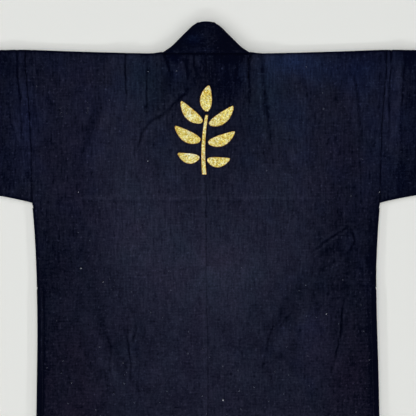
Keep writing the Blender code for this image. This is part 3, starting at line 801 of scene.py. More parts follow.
def body_shade(x, y):
    """Tone of the back's seams, hems and pressed ridge: painted shade in the grooves and along the edges,
    and painted light on the raised allowance and the hems' ridges.
    """
    from_side = half_width(y) - np.abs(x)
    below_arm, vent, near_foot = (below(y, *zone) for zone in (UNDERARM_ZONE, VENT_ZONE, STRIPE_FOOT_ZONE))
    in_middle = below(y, *CENTRE_ZONE)
    shade = RIDGE_LIGHT_AND_SHADE * pressed_ridge(x, y) + edge_shade(shoulder_y(np.abs(x)) - y)
    shade += CENTRE_ALLOWANCE_PALE * centre_allowance(x, y) * in_middle
    in_middle = in_middle * (1 - CENTRE_FOOT_LOST * below(y, *CENTRE_FOOT_ZONE))
    seams = bell(x, SEAM_LINE) * mix(*CENTRE_SEAM_SHARES, in_middle)
    seams = seams + ARMHOLE_SEAM_SHARE * bell(from_side, SEAM_LINE) * (1 - below_arm)
    shade -= seam_shade(x, y, BODY_SEAM_LUMPS) * seams
    past_edge = np.maximum(from_side - VENT_EDGE * vent, 0)
    shade -= SIDE_SHADE * bell(past_edge, SIDE_WIDTH) * below_arm
    for stripe in STRIPES:
        inset = mix(stripe.inset, stripe.foot_inset, near_foot) * MM
        tone = mix(stripe.tone, stripe.foot_tone, near_foot) * vent * (x * stripe.side > 0)
        shade += tone * bell(from_side - inset, stripe.width * MM)
    turned_in = step(WIDE_ALLOWANCE - from_side, WIDE_ALLOWANCE_EDGE) * below(y, *WIDE_ALLOWANCE_ZONE)
    shade -= WIDE_ALLOWANCE_SHADE * turned_in * (x > 0)
    shade -= NECK_SHADE * bell(y, NECK_LINE) * step(NECK_HALF - np.abs(x), NECK_LINE_END)
    return shade - HEM_SHADE * bell(y + HEM_DROP - FOOT_HEM, HEM_LINE)


def sleeve_shade(x, y):
    """Tone of a sleeve's seam, edges and hem, and of the fold on the right one: painted shade in the seam's
    groove, along the edges and past the fold, and painted light on the allowance and the fold's crest.
    """
    shade = ARMHOLE_ALLOWANCE_PALE * sleeve_allowance(x, y)
    shade -= seam_shade(x, y, SLEEVE_SEAM_LUMPS) * bell(past_armhole(x, y), SEAM_LINE)
    shade += edge_shade(shoulder_y(np.abs(x)) - y) + edge_shade(y - sleeve_foot_y(np.abs(x)))
    past_fold = x - SLEEVE_FOLD_X - SLEEVE_FOLD_LEAN * y
    crest = bell(past_fold + SLEEVE_CREST_INSET, SLEEVE_CREST_WIDTH)
    shade -= SLEEVE_FOLD_SHADE * (step(past_fold, SLEEVE_FOLD_SLOPE) - SLEEVE_CREST_SHARE * crest)
    return shade - HEM_SHADE * bell(np.abs(x) - CUFF_REACH + CUFF_HEM, HEM_LINE)


def place(name, data):
    """A new object in the scene."""
    thing = bpy.data.objects.new(name, data)
    bpy.context.scene.collection.objects.link(thing)
    return thing


def cloth_piece(name, spots, faces, thickness, finish, shades=(), grain=None):
    """A sheet from arrays of points and faces, thickened, with its tone stored at each point: dye, and
    painted light and shade.
    """
    mesh = bpy.data.meshes.new(name)
    flat = spots.reshape(-1, 3)
    used = np.unique(faces)
    renumber = np.zeros(len(flat), int)
    renumber[used] = np.arange(len(used))
    mesh.from_pydata(flat[used].tolist(), [], renumber[faces].tolist())
    grain = flat if grain is None else grain.reshape(-1, 3)
    stored = mesh.attributes.new("grain", "FLOAT_VECTOR", "POINT")
    stored.data.foreach_set("vector", grain[used].astype(np.float32).ravel())
    for label, values in zip(("fade", "blue", "teal"), shades):
        stored = mesh.attributes.new(label, "FLOAT", "POINT")
        stored.data.foreach_set("value", values.ravel()[used].astype(np.float32))
    mesh.materials.append(finish)
    mesh.shade_smooth()
    piece = place(name, mesh)
    solid = piece.modifiers.new("Cloth thickness", "SOLIDIFY")
    solid.thickness = thickness
    solid.offset = 0
    solid.use_even_offset = True
    return piece


def grid_faces(rows, columns):
    """The faces of a grid of points, numbered along its columns first."""
    i, j = np.meshgrid(np.arange(rows), np.arange(columns), indexing="ij")
    corner = i * (columns + 1) + j
    up = columns + 1
    return np.stack([corner, corner + 1, corner + 1 + up, corner + up], -1)


def fold_radius(x, y):
    """Radius at which the upper layer turns down to the lower one."""
    return (upper_height(x, y) - CLOTH / 2) / 2


def fold_y(x):
    """Where the upper layer starts to turn over the shoulder."""
    y = shoulder_y(np.abs(x))
    return y - fold_radius(x, y) - CLOTH / 2


def turned(x, y, share, out_x, out_y):
    """Points on the half round that joins the upper layer to the lower one."""
    radius = fold_radius(x, y)
    out = radius * np.sin(math.pi * share)
    return x + out * out_x, y + out * out_y, CLOTH / 2 + radius * (1 + np.cos(math.pi * share))


def steps_between(low, high, size):
    return max(round((high - low) / size), 1)


def shares(steps):
    """A column of even shares from 0 to 1."""
    return np.linspace(0, 1, steps + 1)[:, None]


NECK_COLUMNS = steps_between(0, FRONT_EDGE, FINE_ACROSS) + 1
BODY_COLUMNS = NECK_COLUMNS + steps_between(FRONT_EDGE, ARMHOLE_HALF, FINE_ACROSS)


def neckline_y(x):
    """Top edge of the back inside the neck: tucked under the band, and lower where the band turns over."""
    reach = np.abs(x)
    corner = smooth((reach - NECK_HALF + CORNER_REACH) / CORNER_SLOPE)
    tucked = mix(TUCK, fold_y(np.copysign(FRONT_EDGE, x)), corner)
    outside = np.clip(reach - NECK_HALF - CORNER_START, 0, CORNER_RISE)
    return np.maximum(tucked, outside)


def body_x(column, y):
    """Distance from the centre of the body grid's columns."""
    inner = mix(JOIN_GAP / 2, FRONT_EDGE - JOIN_GAP, column / (NECK_COLUMNS - 1))
    inner = np.minimum(inner, FRONT_EDGE)
    sewn = smooth((-y - UNDERARM_DROP) / (SIDE_SEAM_DROP - UNDERARM_DROP))
    sewn = sewn * smooth((VENT_DROP + VENT_SLOPE + y) / VENT_SLOPE)
    side = half_width(y) - SIDE_INSET * sewn
    outer = mix(FRONT_EDGE, side, (column - NECK_COLUMNS) / (BODY_COLUMNS - NECK_COLUMNS))
    return np.where(column <= NECK_COLUMNS, inner, outer)


def row_heights(zone_rows, top_y):
    """Rows up the back from the hem, in three zones: skirt, side seam, and level with the armhole."""
    skirt, seam, armhole = (shares(rows) for rows in zone_rows)
    level = np.ones_like(top_y)[None, :]
    return np.concatenate(
        [
            mix(-HEM_DROP, -VENT_DROP, skirt)[:-1] * level,
            mix(-VENT_DROP, -SIDE_SEAM_DROP, seam)[:-1] * level,
            mix(-SIDE_SEAM_DROP, top_y[None, :], armhole),
        ]
    )


def body_panel(name, side, finish):
    """One panel: up the back, over the shoulder, down the front, with its side seam closed."""
    columns = np.arange(BODY_COLUMNS + 1)
    width = len(columns)
    top_x = side * body_x(columns, np.zeros(width))
    top_y = np.where(columns < NECK_COLUMNS, neckline_y(top_x), fold_y(top_x))
    seam_rows = steps_between(SIDE_SEAM_DROP, VENT_DROP, FINE_ALONG)
    zones = [
        (steps_between(VENT_DROP, HEM_DROP, size), seam_rows, steps_between(0, SIDE_SEAM_DROP, size))
        for size in (FINE_ALONG, COARSE_ALONG)
    ]
    back_y = row_heights(zones[0], top_y)
    back_x = side * body_x(columns[None, :], back_y)
    back = (back_x, back_y, upper_height(back_x, back_y) + body_detail(back_x, back_y))
    over = turned(back_x[-1:], top_y[None, :], shares(FOLD_ROWS)[1:-1], 0, 1)
    front_y = row_heights(zones[1], top_y)[::-1]
    front = (side * body_x(columns[None, :], front_y), front_y, np.full_like(front_y, CLOTH / 2))
    over_shape = (FOLD_ROWS - 1, width)
    layers = [(b, np.broadcast_to(o, over_shape), f) for b, o, f in zip(back, over, front)]
    x, y, z = (np.concatenate(layer) for layer in layers)
    faces = grid_faces(len(x) - 1, BODY_COLUMNS)
    kept = np.ones(faces.shape[:2], bool)
    kept[len(back_y) - 1 :, :NECK_COLUMNS] = False
    faces = faces[kept]

    # The side seam: half rounds from the back's last column to the front's
    skirt_back, skirt_front = zones[0][0], zones[1][0]
    across = seam_rows + 1
    sewn = slice(skirt_back, skirt_back + across)
    seam = turned(back_x[None, sewn, -1], back_y[None, sewn, -1], shares(SIDE_TURNS)[1:-1], side, 0)
    seam = [np.broadcast_to(axis, (SIDE_TURNS - 1, across)) for axis in seam]
    chain = [np.arange(skirt_back, skirt_back + across) * width + BODY_COLUMNS]
    chain += [x.size + turn * across + np.arange(across) for turn in range(SIDE_TURNS - 1)]
    chain += [(len(x) - 1 - np.arange(skirt_front, skirt_front + across)) * width + BODY_COLUMNS]
    for near, far in zip(chain, chain[1:]):
        faces = np.concatenate([faces, np.stack([near[:-1], far[:-1], far[1:], near[1:]], -1)])
    x, y, z = (np.concatenate([a.ravel(), b.ravel()]) for a, b in zip((x, y, z), seam))
    fade, *hues = dye(x, y)
    # The upper layer's tone adds painted light and shade from its relief, seams and edges
    fade = np.where(z > CLOTH, fade + fold_fade_and_crease_shade(x, y) + body_shade(x, y), LOWER_FADE)
    return cloth_piece(name, in_world(x, y, z), faces, THIN, finish, (fade, *hues))


def sleeve(name, side, finish):
    """A tube: up the outer side, over the top, down the inner side and round the foot."""
    columns = steps_between(ARMHOLE_HALF, CUFF_REACH, FINE_ACROSS)
    share = shares(columns).T

    def x_at(y):
        return side * mix(half_width(np.maximum(y, -UNDERARM_DROP)) + JOIN_GAP, CUFF_REACH, share)

    top_y = fold_y(x_at(np.zeros((1, 1))))
    foot_x = x_at(np.full((1, 1), -UNDERARM_DROP))
    foot_edge = sleeve_foot_y(np.abs(foot_x))
    foot_y = foot_edge + fold_radius(foot_x, foot_edge) + CLOTH / 2
    turn_share = shares(FOLD_ROWS)[1:-1]
    y = mix(foot_y, top_y, shares(steps_between(0, SIDE_SEAM_DROP, FINE_ALONG)))
    upper = (x_at(y), y, upper_height(x_at(y), y) + sleeve_detail(x_at(y), y))
    over = turned(x_at(top_y), top_y, turn_share, 0, 1)
    y = mix(top_y, foot_y, shares(steps_between(0, SIDE_SEAM_DROP, COARSE_ALONG)))
    lower = (x_at(y), y, np.full_like(y, CLOTH / 2))
    under = turned(foot_x, foot_y, turn_share[::-1], 0, -1)
    layers = [np.broadcast_arrays(*layer) for layer in (upper, over, lower, under)]
    x, y, z = (np.concatenate(axis) for axis in zip(*layers))
    faces = grid_faces(len(x), columns).reshape(-1, 4)
    faces = np.where(faces >= x.size, faces - x.size, faces)
    fade, *hues = dye(x, y)
    # The upper layer's tone adds painted light and shade from its relief, seams and edges
    fade = np.where(z > CLOTH, fade + fold_fade_and_crease_shade(x, y) + sleeve_shade(x, y), LOWER_FADE)
    return cloth_piece(name, in_world(x, y, z), faces, THIN, finish, (fade, *hues))


# The collar band: its flat cut, and its grid from the middle of the neck to one hem
BAND_CUT = (0.0585, 1.838)
BAND_RUN_EASE = 1.2
BAND_ROWS = 24
BAND_NECK_COLUMNS = 32
BAND_TURN_COLUMNS = 16
BAND_RUN_COLUMNS = 120

# The corner of its top edge, where it turns over, is rounded off
PEAK_CORNER = (17.5 * MM, 58.5 * MM)
PEAK_ROUNDING = (1.0 * MM, 2.2 * MM)
PEAK_RADIUS = 8 * MM

# Its relief: a crown, puckers along the neck seam, waves, and lines at some distances from the seam. Its
# tone is paler where the puckers and waves stand up and darker in their hollows and in the lines, paler on
# the raised one: painted light and shade
BAND_CROWN = 0.5 * MM
BAND_PUCKERS = Lumps(0.5 * MM, 5.5 * MM, 26 * MM, 14)
BAND_PUCKER_REACH = 11 * MM
BAND_WAVES = Lumps(0.5 * MM, 24 * MM, 30 * MM, 15)
BAND_WAVE_SLANT = 0.35
BAND_LINES = [(0.2 * MM, 0.9 * MM, 1.0), (3.3 * MM, 1.3 * MM, -0.6), (6.8 * MM, 1.1 * MM, 0.6)]
BAND_LINE_LEVEL = 0.6
BAND_LINE_LUMPS = Lumps(0.5, 14 * MM, 40 * MM, 16)
BAND_LINE_DEPTH = 0.3 * MM
BAND_LINE_SHADE = 0.4
BAND_RELIEF_LIGHT_AND_SHADE = 0.3 / MM
BAND_WAVE_LIGHT_SHARE = 0.6
BAND_TOP_SHADE = 0.4
BAND_PATCHES = table_of(Patch, [
    ("band_middle", 4, -28, 13, 24, 0.24, 0.1),
    ("band_left", -24, -24, 16, 11, 0.12, 0.9),
    ("band_foot", -8, -6, 30, 4, 0.30, 0.4),
    ("band_foot_left", -50, -7, 18, 4, 0.10, 0.2),
    ("band_right", 36, -18, 16, 18, -0.18, -0.9),
])


def turned_over(along, across):
    """Where points of the flat band come to lie. The band turns over on a line at 45 degrees."""
    radius = BAND_FOLD_RADIUS
    past = (along - NECK_HALF + across) / math.sqrt(2)
    up_line = (across - along + NECK_HALF) / math.sqrt(2)
    angle = np.clip(past / radius, 0, math.pi)
    outward = np.where(past <= 0, past, np.maximum(radius * np.sin(angle), 0))
    outward = np.where(past >= math.pi * radius, math.pi * radius - past, outward)
    z = BAND_CLOTH / 2 + radius * (1 + np.cos(angle))
    x = NECK_HALF + (outward - up_line) / math.sqrt(2)
    y = (outward + up_line) / math.sqrt(2)
    return x, y, z


def collar(name, finish):
    """The band, made flat from the middle of the neck outwards and turned over on each side."""
    turn_end = BAND_NECK_COLUMNS + BAND_TURN_COLUMNS
    column = np.arange(turn_end + BAND_RUN_COLUMNS + 1)[None, :]
    rows = shares(BAND_ROWS)
    arc = math.pi * BAND_FOLD_RADIUS
    past = arc * np.clip((column - BAND_NECK_COLUMNS) / BAND_TURN_COLUMNS, 0, 1)
    hem = NECK_HALF + HEM_DROP + arc / math.sqrt(2)
    run_share = np.clip((column - turn_end) / BAND_RUN_COLUMNS, 0, 1) ** BAND_RUN_EASE
    neck_share = np.clip(column / BAND_NECK_COLUMNS, 0, 1)
    across = BAND_WIDTH * rows
    slant = NECK_HALF - across + past * math.sqrt(2)
    along = mix(slant * neck_share, hem, run_share)
    across = np.broadcast_to(across, along.shape)
    x, y, z = turned_over(along, across)
    corner = bell(np.hypot(x - PEAK_CORNER[0], y - PEAK_CORNER[1]), PEAK_RADIUS)
    x = x - PEAK_ROUNDING[0] * corner
    y = y - PEAK_ROUNDING[1] * corner
    x = np.concatenate([-x[:, :0:-1], x], 1)
    along = np.concatenate([-along[:, :0:-1], along], 1)
    y, z, across = (np.concatenate([half[:, :0:-1], half], 1) for half in (y, z, across))
    on_top = smooth((z - BAND_CLOTH * 1.5) / BAND_CLOTH)
    crown = BAND_CROWN * np.sin(math.pi * np.clip(y / BAND_WIDTH, 0, 1))
    by_seam = bell(np.clip(y, 0, None), BAND_PUCKER_REACH)
    puckers = lumpy(BAND_PUCKERS, x, y) * by_seam
    waves = lumpy(BAND_WAVES, x + BAND_WAVE_SLANT * y, y)
    lines = sum(share * bell(y - low, wide) for low, wide, share in BAND_LINES)
    band_line_relief = lines * (BAND_LINE_LEVEL + lumpy(BAND_LINE_LUMPS, x, y))
    z = z + on_top * (crown + puckers + waves - BAND_LINE_DEPTH * band_line_relief)
    faces = grid_faces(BAND_ROWS, x.shape[1] - 1).reshape(-1, 4)[:, ::-1]
    fade, *hues = dye(x, y, COLLAR_FADE, BAND_PATCHES)
    # Painted shade toward the band's folded edge and its top edge, and painted light and shade from its
    # relief
    from_fold = (NECK_HALF - np.abs(x) - y) / math.sqrt(2) + BAND_FOLD_RADIUS
    fade += edge_shade(from_fold) + BAND_TOP_SHADE * edge_shade(BAND_WIDTH - y)
    fade += on_top * (BAND_RELIEF_LIGHT_AND_SHADE * (puckers + BAND_WAVE_LIGHT_SHARE * waves) - BAND_LINE_SHADE * band_line_relief)
    grain = np.stack([across, along + BAND_CUT[1], z], -1)
    return cloth_piece(name, in_world(x, y, z), faces, BAND_THIN, finish, (fade, *hues), grain)


# The sprig: a stem and seven leaves, each from its base to its tip, as in part.py
LEAF_CLOTH = 1.0 * MM
Leaf = collections.namedtuple("Leaf", "base_x base_drop tip_x tip_drop bow width")
LEAVES = table_of(Leaf, [
    (1, 107, 5, 59, 3, 21),
    (-7, 127, -46, 88, 5, 20),
    (6, 131, 50, 97, -5, 20),
    (-10, 161, -57, 134, 5, 21),
    (4, 165, 53, 144, -5, 20),
    (-12, 192, -52, 184, 5, 18),
    (2, 196, 44, 194, -5, 18),
])
STEM = Leaf(-3, 224, 1.5, 112, 4, 7)
LEAF_RIBS = 44
LEAF_ACROSS = 14
LEAF_ENDS = (0.015, 0.985)
LEAF_THINNING = 0.8
LEAF_LEAN = 0.8
LEAF_FULLNESS = 0.7
LEAF_BLUNT = 0.12
STEM_TOP = 0.6
CRINKLE = 0.3 * MM
CRINKLES = [Lumps(1.0, 4.2 * MM, 3.6 * MM, 17), Lumps(0.6, 2.4 * MM, 2.6 * MM, 18)]
RIM_RADIUS = 0.55 * MM


def leaf_half(leaf, rib):
    """Half width of a leaf at a rib: round at the base, drawn out at the tip."""
    outline = np.sin(math.pi * rib**LEAF_LEAN) ** LEAF_FULLNESS
    return leaf.width * MM / 2 * np.maximum(outline, LEAF_BLUNT)


def stem_half(leaf, rib):
    return leaf.width * MM / 2 * mix(1, STEM_TOP, rib)


def leaf_run(leaf):
    return np.array([leaf.tip_x - leaf.base_x, leaf.base_drop - leaf.tip_drop]) * MM


def leaf_points(leaf, half_at, rib, across):
    """Points on a leaf, above the back: rib runs from base to tip, across from -1 to 1."""
    run = leaf_run(leaf)
    sideways = np.array([-run[1], run[0]]) / np.hypot(*run)
    off = leaf.bow * MM * 4 * rib * (1 - rib) + half_at(leaf, rib) * across
    x = leaf.base_x * MM + run[0] * rib + sideways[0] * off
    y = -leaf.base_drop * MM + run[1] * rib + sideways[1] * off
    return x, y, upper_height(x, y) + CLOTH / 2 + SEAM + LEAF_CLOTH / 2


def leaf_piece(name, leaf, half_at, finish, rim_finish):
    """A leaf of crinkled gold cloth, with a corded rim."""
    rib = np.linspace(*LEAF_ENDS, LEAF_RIBS + 1)[:, None]
    across = np.linspace(-1, 1, LEAF_ACROSS + 1)[None, :]
    x, y, z = leaf_points(leaf, half_at, rib, across)
    z = z + CRINKLE * sum(lumpy(lumps, x, y) for lumps in CRINKLES) * (1 - across**4)
    faces = grid_faces(LEAF_RIBS, LEAF_ACROSS).reshape(-1, 4)
    piece = cloth_piece(name, in_world(x, y, z), faces, LEAF_CLOTH * LEAF_THINNING, finish)
    ribs = np.concatenate([rib[:, 0], rib[::-1, 0]])
    sides = np.repeat([1.0, -1.0], LEAF_RIBS + 1)
    rim = strands(name + "_rim", [leaf_points(leaf, half_at, ribs, sides)], RIM_RADIUS, rim_finish, True)
    return piece, rim


def strands(name, paths, radius, finish, closed=False):
    """Round threads along these paths, joined in one mesh."""
    curve = bpy.data.curves.new(name, "CURVE")
    curve.dimensions = "3D"
    curve.bevel_depth = radius
    curve.bevel_resolution = 2 if closed else 1
    curve.use_fill_caps = not closed
    for path in paths:
        spots = in_world(*path)
        spline = curve.splines.new("POLY")
        spline.points.add(len(spots) - 1)
        spline.points.foreach_set("co", np.c_[spots, np.ones(len(spots))].ravel())
        spline.use_cyclic_u = closed
    curve.materials.append(finish)
    guide = place(name + "_guide", curve)
    graph = bpy.context.evaluated_depsgraph_get()
    mesh = bpy.data.meshes.new_from_object(guide.evaluated_get(graph))
    mesh.shade_smooth()
    bpy.data.objects.remove(guide)
    return place(name, mesh)


# Hem stitches: their middles stand up by a share of their radius, and their ends dip into the cloth
STITCH_LENGTH = 2.8 * MM
STITCH_PITCH = 4.6 * MM
STITCH_RADIUS = 0.22 * MM
STITCH_RISE = 1.2
STITCH_DIP = 6
STITCH_POINTS = 5
STITCH_INSET = 1.5 * MM
STITCH_END = 4 * MM


def stitch_rows():
    """Lines of running stitches on both vents, the foot and both cuffs: places, and the way they run."""
    vent_y = np.arange(-HEM_DROP + FOOT_HEM, -VENT_DROP - STITCH_END, STITCH_PITCH)
    foot_x = np.arange(VENT_HEM, half_width(-HEM_DROP) - VENT_HEM, STITCH_PITCH)
    cuff_y = np.arange(-CUFF_DROP + STITCH_END, -STITCH_END, STITCH_PITCH)
    for side in (-1, 1):
        yield side * (half_width(vent_y) - VENT_HEM + STITCH_INSET), vent_y, 0, 1
        yield side * foot_x, np.full_like(foot_x, -HEM_DROP + FOOT_HEM - STITCH_INSET), 1, 0
        yield np.full_like(cuff_y, side * (CUFF_REACH - CUFF_HEM + STITCH_INSET)), cuff_y, 0, 1


def stitches(name, finish):
    paths = []
    share = np.linspace(-0.5, 0.5, STITCH_POINTS)
    for x, y, run_x, run_y in stitch_rows():
        stitch_x = x[:, None] + run_x * STITCH_LENGTH * share
        stitch_y = y[:, None] + run_y * STITCH_LENGTH * share
        top = upper_height(stitch_x, stitch_y) + hem_rise(stitch_x, stitch_y) + THIN / 2
        top = top + STITCH_RADIUS * (STITCH_RISE - STITCH_DIP * share**2)
        paths += list(zip(stitch_x, stitch_y, top))
    return strands(name, paths, STITCH_RADIUS, finish)


# Lint: the specks that stand out, then many faint ones, most of them near the hem, and a few clusters
# where the cloth has pilled. Places and sizes in millimetres
Speck = collections.namedtuple("Speck", "x drop size fibres")
SPECKS = table_of(Speck, [
    (28, 637, 1.5, 11),
    (-230, 395, 1.2, 7),
    (219, 479, 1.1, 7),
    (-7, 543, 1.1, 6),
    (318, 255, 0.9, 4),
    (-190, 420, 0.9, 4),
    (-107, 198, 0.9, 4),
    (-107, 34, 0.9, 4),
    (-234, 255, 0.8, 3),
    (-88, 641, 0.7, 2),
    (-250, 606, 0.7, 2),
    (184, 25, 0.7, 2),
    (-68, 400, 0.7, 2),
    (-155, 569, 0.7, 2),
    (85, 613, 0.7, 2),
])
PILLED = [(-267, 107), (-215, 107), (-121, 310), (-173, 422), (120, 700), (-140, 730)]
PILLS = 6
PILL_SPREAD = 7
PILL_SIZES = (0.8, 1.8)
PILL_FIBRES = 1
FAINT_SPECKS = 110
FAINT_REACH = 600
FAINT_DROPS = (15, 820)
FAINT_SIZES = (0.6, 1.9)
FAINT_FIBRES = 4
FAINT_SIDE_MARGIN = 4 * MM
FAINT_FOOT_MARGIN = 10 * MM
FAINT_EVERYWHERE = 0.1
FAINT_AT_FOOT = 1.2
FOOT_BIAS = 2.5
SPECK_SEED = 12
FIBRE_RADIUS = 0.07 * MM
FIBRE_POINTS = 5
FIBRE_BEND = 1.4
FIBRE_MIDDLE = 0.4
FIBRE_HEIGHTS = (1, 3)


def faint_specks(random):
    """Places and sizes of the lint that hardly shows."""
    specks = []
    while len(specks) < FAINT_SPECKS:
        x = random.uniform(-FAINT_REACH, FAINT_REACH)
        drop = random.uniform(*FAINT_DROPS)
        on_sleeve = drop * MM < CUFF_DROP - FAINT_FOOT_MARGIN
        on_coat = on_sleeve or abs(x) * MM < half_width(-drop * MM) - FAINT_SIDE_MARGIN
        share = FAINT_EVERYWHERE + FAINT_AT_FOOT * (drop * MM / HEM_DROP) ** FOOT_BIAS
        if on_coat and random.uniform() < share:
            specks.append(Speck(x, drop, random.uniform(*FAINT_SIZES), FAINT_FIBRES))
    for x, drop in PILLED:
        for _ in range(PILLS):
            off_x, off_drop = random.normal(0, PILL_SPREAD, 2)
            size = random.uniform(*PILL_SIZES)
            specks.append(Speck(x + off_x, drop + off_drop, size, PILL_FIBRES))
    return specks


def lint(name, specks, finish, random):
    """Small tufts of fibre that lie on the coat."""
    along = np.linspace(-1, 1, FIBRE_POINTS)
    fibres = []
    for speck in specks:
        for _ in range(speck.fibres):
            heading = random.uniform(0, 2 * math.pi)
            bend = random.uniform(-FIBRE_BEND, FIBRE_BEND) * (along**2 - FIBRE_MIDDLE)
            x = speck.x + speck.size * (along * math.cos(heading) - bend * math.sin(heading))
            drop = speck.drop + speck.size * (along * math.sin(heading) + bend * math.cos(heading))
            above = np.full(FIBRE_POINTS, FIBRE_RADIUS * random.uniform(*FIBRE_HEIGHTS))
            fibres.append((x * MM, -drop * MM, above))
    x, y, above = (np.array(axis) for axis in zip(*fibres))
    return strands(name, list(zip(x, y, upper_height(x, y) + THIN / 2 + above)), FIBRE_RADIUS, finish)


class Nodes:
    """Short ways to add and join shader nodes."""

    def __init__(self, name):
        self.material = bpy.data.materials.new(name)
        self.material.use_nodes = True
        self.tree = self.material.node_tree
        self.shader = self.tree.nodes["Principled BSDF"]

    def add(self, kind, inputs, **settings):
        node = self.tree.nodes.new(kind)
        for key, value in settings.items():
            setattr(node, key, value)
        for key, value in inputs.items():
            self.feed(node.inputs[key], value)
        return node

    def feed(self, socket, value):
        if isinstance(value, bpy.types.NodeSocket):
            self.tree.links.new(value, socket)
        else:
            socket.default_value = value

    def math(self, operation, *values):
        return self.add("ShaderNodeMath", dict(enumerate(values)), operation=operation).outputs[0]

    def vector(self, operation, *values):
        return self.add("ShaderNodeVectorMath", dict(enumerate(values)), operation=operation).outputs[0]

    def sum(self, *terms):
        """Each term is a socket and the number that it is multiplied by."""
        total = 0.0
        for socket, factor in terms:
            total = self.math("MULTIPLY_ADD", socket, factor, total)
        return total

    def noise(self, vector, scale, detail=2.0, rough=0.5):
        """Noise from about -0.5 to 0.5, at a number of lumps per metre along each axis."""
        lumps = {"Vector": self.vector("MULTIPLY", vector, scale), "Scale": 1.0}
        lumps.update({"Detail": detail, "Roughness": rough})
        return self.math("SUBTRACT", self.add("ShaderNodeTexNoise", lumps).outputs[0], 0.5)

    def mix(self, share, low, high, blend="MIX"):
        colours = {0: share, 6: low, 7: high}
        mixed = self.add("ShaderNodeMix", colours, data_type="RGBA", blend_type=blend, clamp_factor=False)
        return mixed.outputs[2]

    def clamp(self, value):
        return self.add("ShaderNodeClamp", {"Value": value}).outputs[0]

    def ramp(self, value, low, high):
        limits = {"Value": value, "From Min": low, "From Max": high}
        return self.add("ShaderNodeMapRange", limits).outputs[0]

    def stored(self, label, output="Fac"):
        return self.add("ShaderNodeAttribute", {}, attribute_name=label).outputs[output]

    def shade(self, inputs):
        """Sets or joins the shader's own sockets, and gives back the finished material."""
        for key, value in inputs.items():
            self.feed(self.shader.inputs[key], value)
        return self.material


# Indigo cotton: its darkest and palest dye, and the hues that a stored value above or below 0 adds, with
# the lumps per metre and the strength of a mottle in it
DARK_INDIGO = (0.0008, 0.0015, 0.0072, 1)
PALE_INDIGO = (0.0146, 0.0166, 0.0338, 1)
Hue = collections.namedtuple("Hue", "name scale mottle above below")
HUES = table_of(Hue, [
    ("blue", (20, 16, 2), 1.0, (0.62, 0.93, 1.45, 1), (1.20, 0.90, 0.92, 1)),
    ("teal", (16, 12, 3), 1.4, (0.72, 1.06, 0.98, 1), (1.16, 0.96, 1.10, 1)),
])

# The dye's texture: lumps per metre across and along the threads, detail, strength, and relief
Grain = collections.namedtuple("Grain", "name across along detail strength raised")
STREAKS = [Grain("threads", 320, 46, 1.5, 1.25, 1.6), Grain("slubs", 200, 22, 2.5, 0.95, 1.2)]
LUMPS = table_of(Grain, [
    ("weft", 40, 330, 1.5, 0.75, 1.0),
    ("grit", 260, 260, 1.5, 1.15, 0.8),
    ("mottle", 120, 90, 3.0, 0.6, 0.0),
    ("clouds", 44, 32, 3.0, 0.5, 0.0),
    ("blotches", 10, 7, 2.0, 0.2, 0.0),
])
GRAIN_ROUGHNESS = 0.62
NEPS = Grain("neps", 240, 180, 1.0, 6.0, 4.0)
NEP_LEVEL = 0.13

# Toward the foot, from the second of these heights to the first, the cloth is worn: fewer streaks show
# and more lumps
WORN_FOOT = (-0.15, 0.10)
STREAKS_LOST = 0.35
LUMPS_GAINED = 0.25

# The texture is weaker where the dye is dark
TEXTURE_IN_DARK = 0.5
TEXTURE_WITH_FADE = 0.65

# The weave's relief, with a thread each 0.7 mm, and how the cloth shines
WEAVE_SCALE = 450
THREAD_HEIGHT = 0.35
BUMP_STRENGTH = 0.6
BUMP_DEPTH = 0.4 * MM
COTTON_ROUGHNESS = 0.5
COTTON_GLOSS = 0.012


def indigo_cotton(name):
    """Slubbed plain weave with pale neps, dyed with indigo. Its stored tone is paler on the raised folds,
    partly faded dye and partly painted light, and holds painted shade in creases and along edges.
    """
    nodes = Nodes(name)
    grain = nodes.stored("grain", "Vector")
    fade = nodes.stored("fade")
    up_coat = nodes.ramp(nodes.add("ShaderNodeSeparateXYZ", {"Vector": grain}).outputs["Y"], *WORN_FOOT)
    texture, raised = 0.0, []
    for grains, change in ((STREAKS, STREAKS_LOST), (LUMPS, -LUMPS_GAINED)):
        lumps = [nodes.noise(grain, (g.across, g.along, 1), g.detail, GRAIN_ROUGHNESS) for g in grains]
        raised += [(n, g.raised) for n, g in zip(lumps, grains) if g.raised]
        marks = nodes.sum(*((n, g.strength) for n, g in zip(lumps, grains)))
        share = nodes.math("MULTIPLY_ADD", up_coat, change, 1.0 - change)
        texture = nodes.math("MULTIPLY_ADD", marks, share, texture)
    strength = nodes.math("MULTIPLY_ADD", fade, TEXTURE_WITH_FADE, TEXTURE_IN_DARK)
    texture = nodes.math("MULTIPLY", texture, strength)
    neps = nodes.noise(grain, (NEPS.across, NEPS.along, 1), NEPS.detail)
    neps = nodes.math("MAXIMUM", nodes.math("SUBTRACT", neps, NEP_LEVEL), 0.0)
    tone = nodes.sum((fade, 1.0), (texture, 1.0), (neps, NEPS.strength))
    colour = nodes.mix(nodes.math("MAXIMUM", tone, 0.0), DARK_INDIGO, PALE_INDIGO)
    for hue in HUES:
        amount = nodes.sum((nodes.stored(hue.name), 1.0), (nodes.noise(grain, hue.scale), hue.mottle))
        colour = nodes.mix(nodes.clamp(amount), colour, hue.above, "MULTIPLY")
        colour = nodes.mix(nodes.clamp(nodes.sum((amount, -1.0))), colour, hue.below, "MULTIPLY")
    crossings = []
    for direction, along in (("X", (1, 0, 0)), ("Y", (0, 1, 0))):
        lines = {"Vector": nodes.vector("MULTIPLY", grain, along), "Scale": WEAVE_SCALE}
        waves = nodes.add("ShaderNodeTexWave", lines, bands_direction=direction)
        crossings.append((waves.outputs[1], THREAD_HEIGHT))
    relief = {"Height": nodes.sum(*crossings, *raised, (neps, NEPS.raised))}
    bump = nodes.add("ShaderNodeBump", {**relief, "Strength": BUMP_STRENGTH, "Distance": BUMP_DEPTH})
    look = {"Base Color": colour, "Normal": bump.outputs[0], "Roughness": COTTON_ROUGHNESS}
    return nodes.shade({**look, "Specular IOR Level": COTTON_GLOSS})


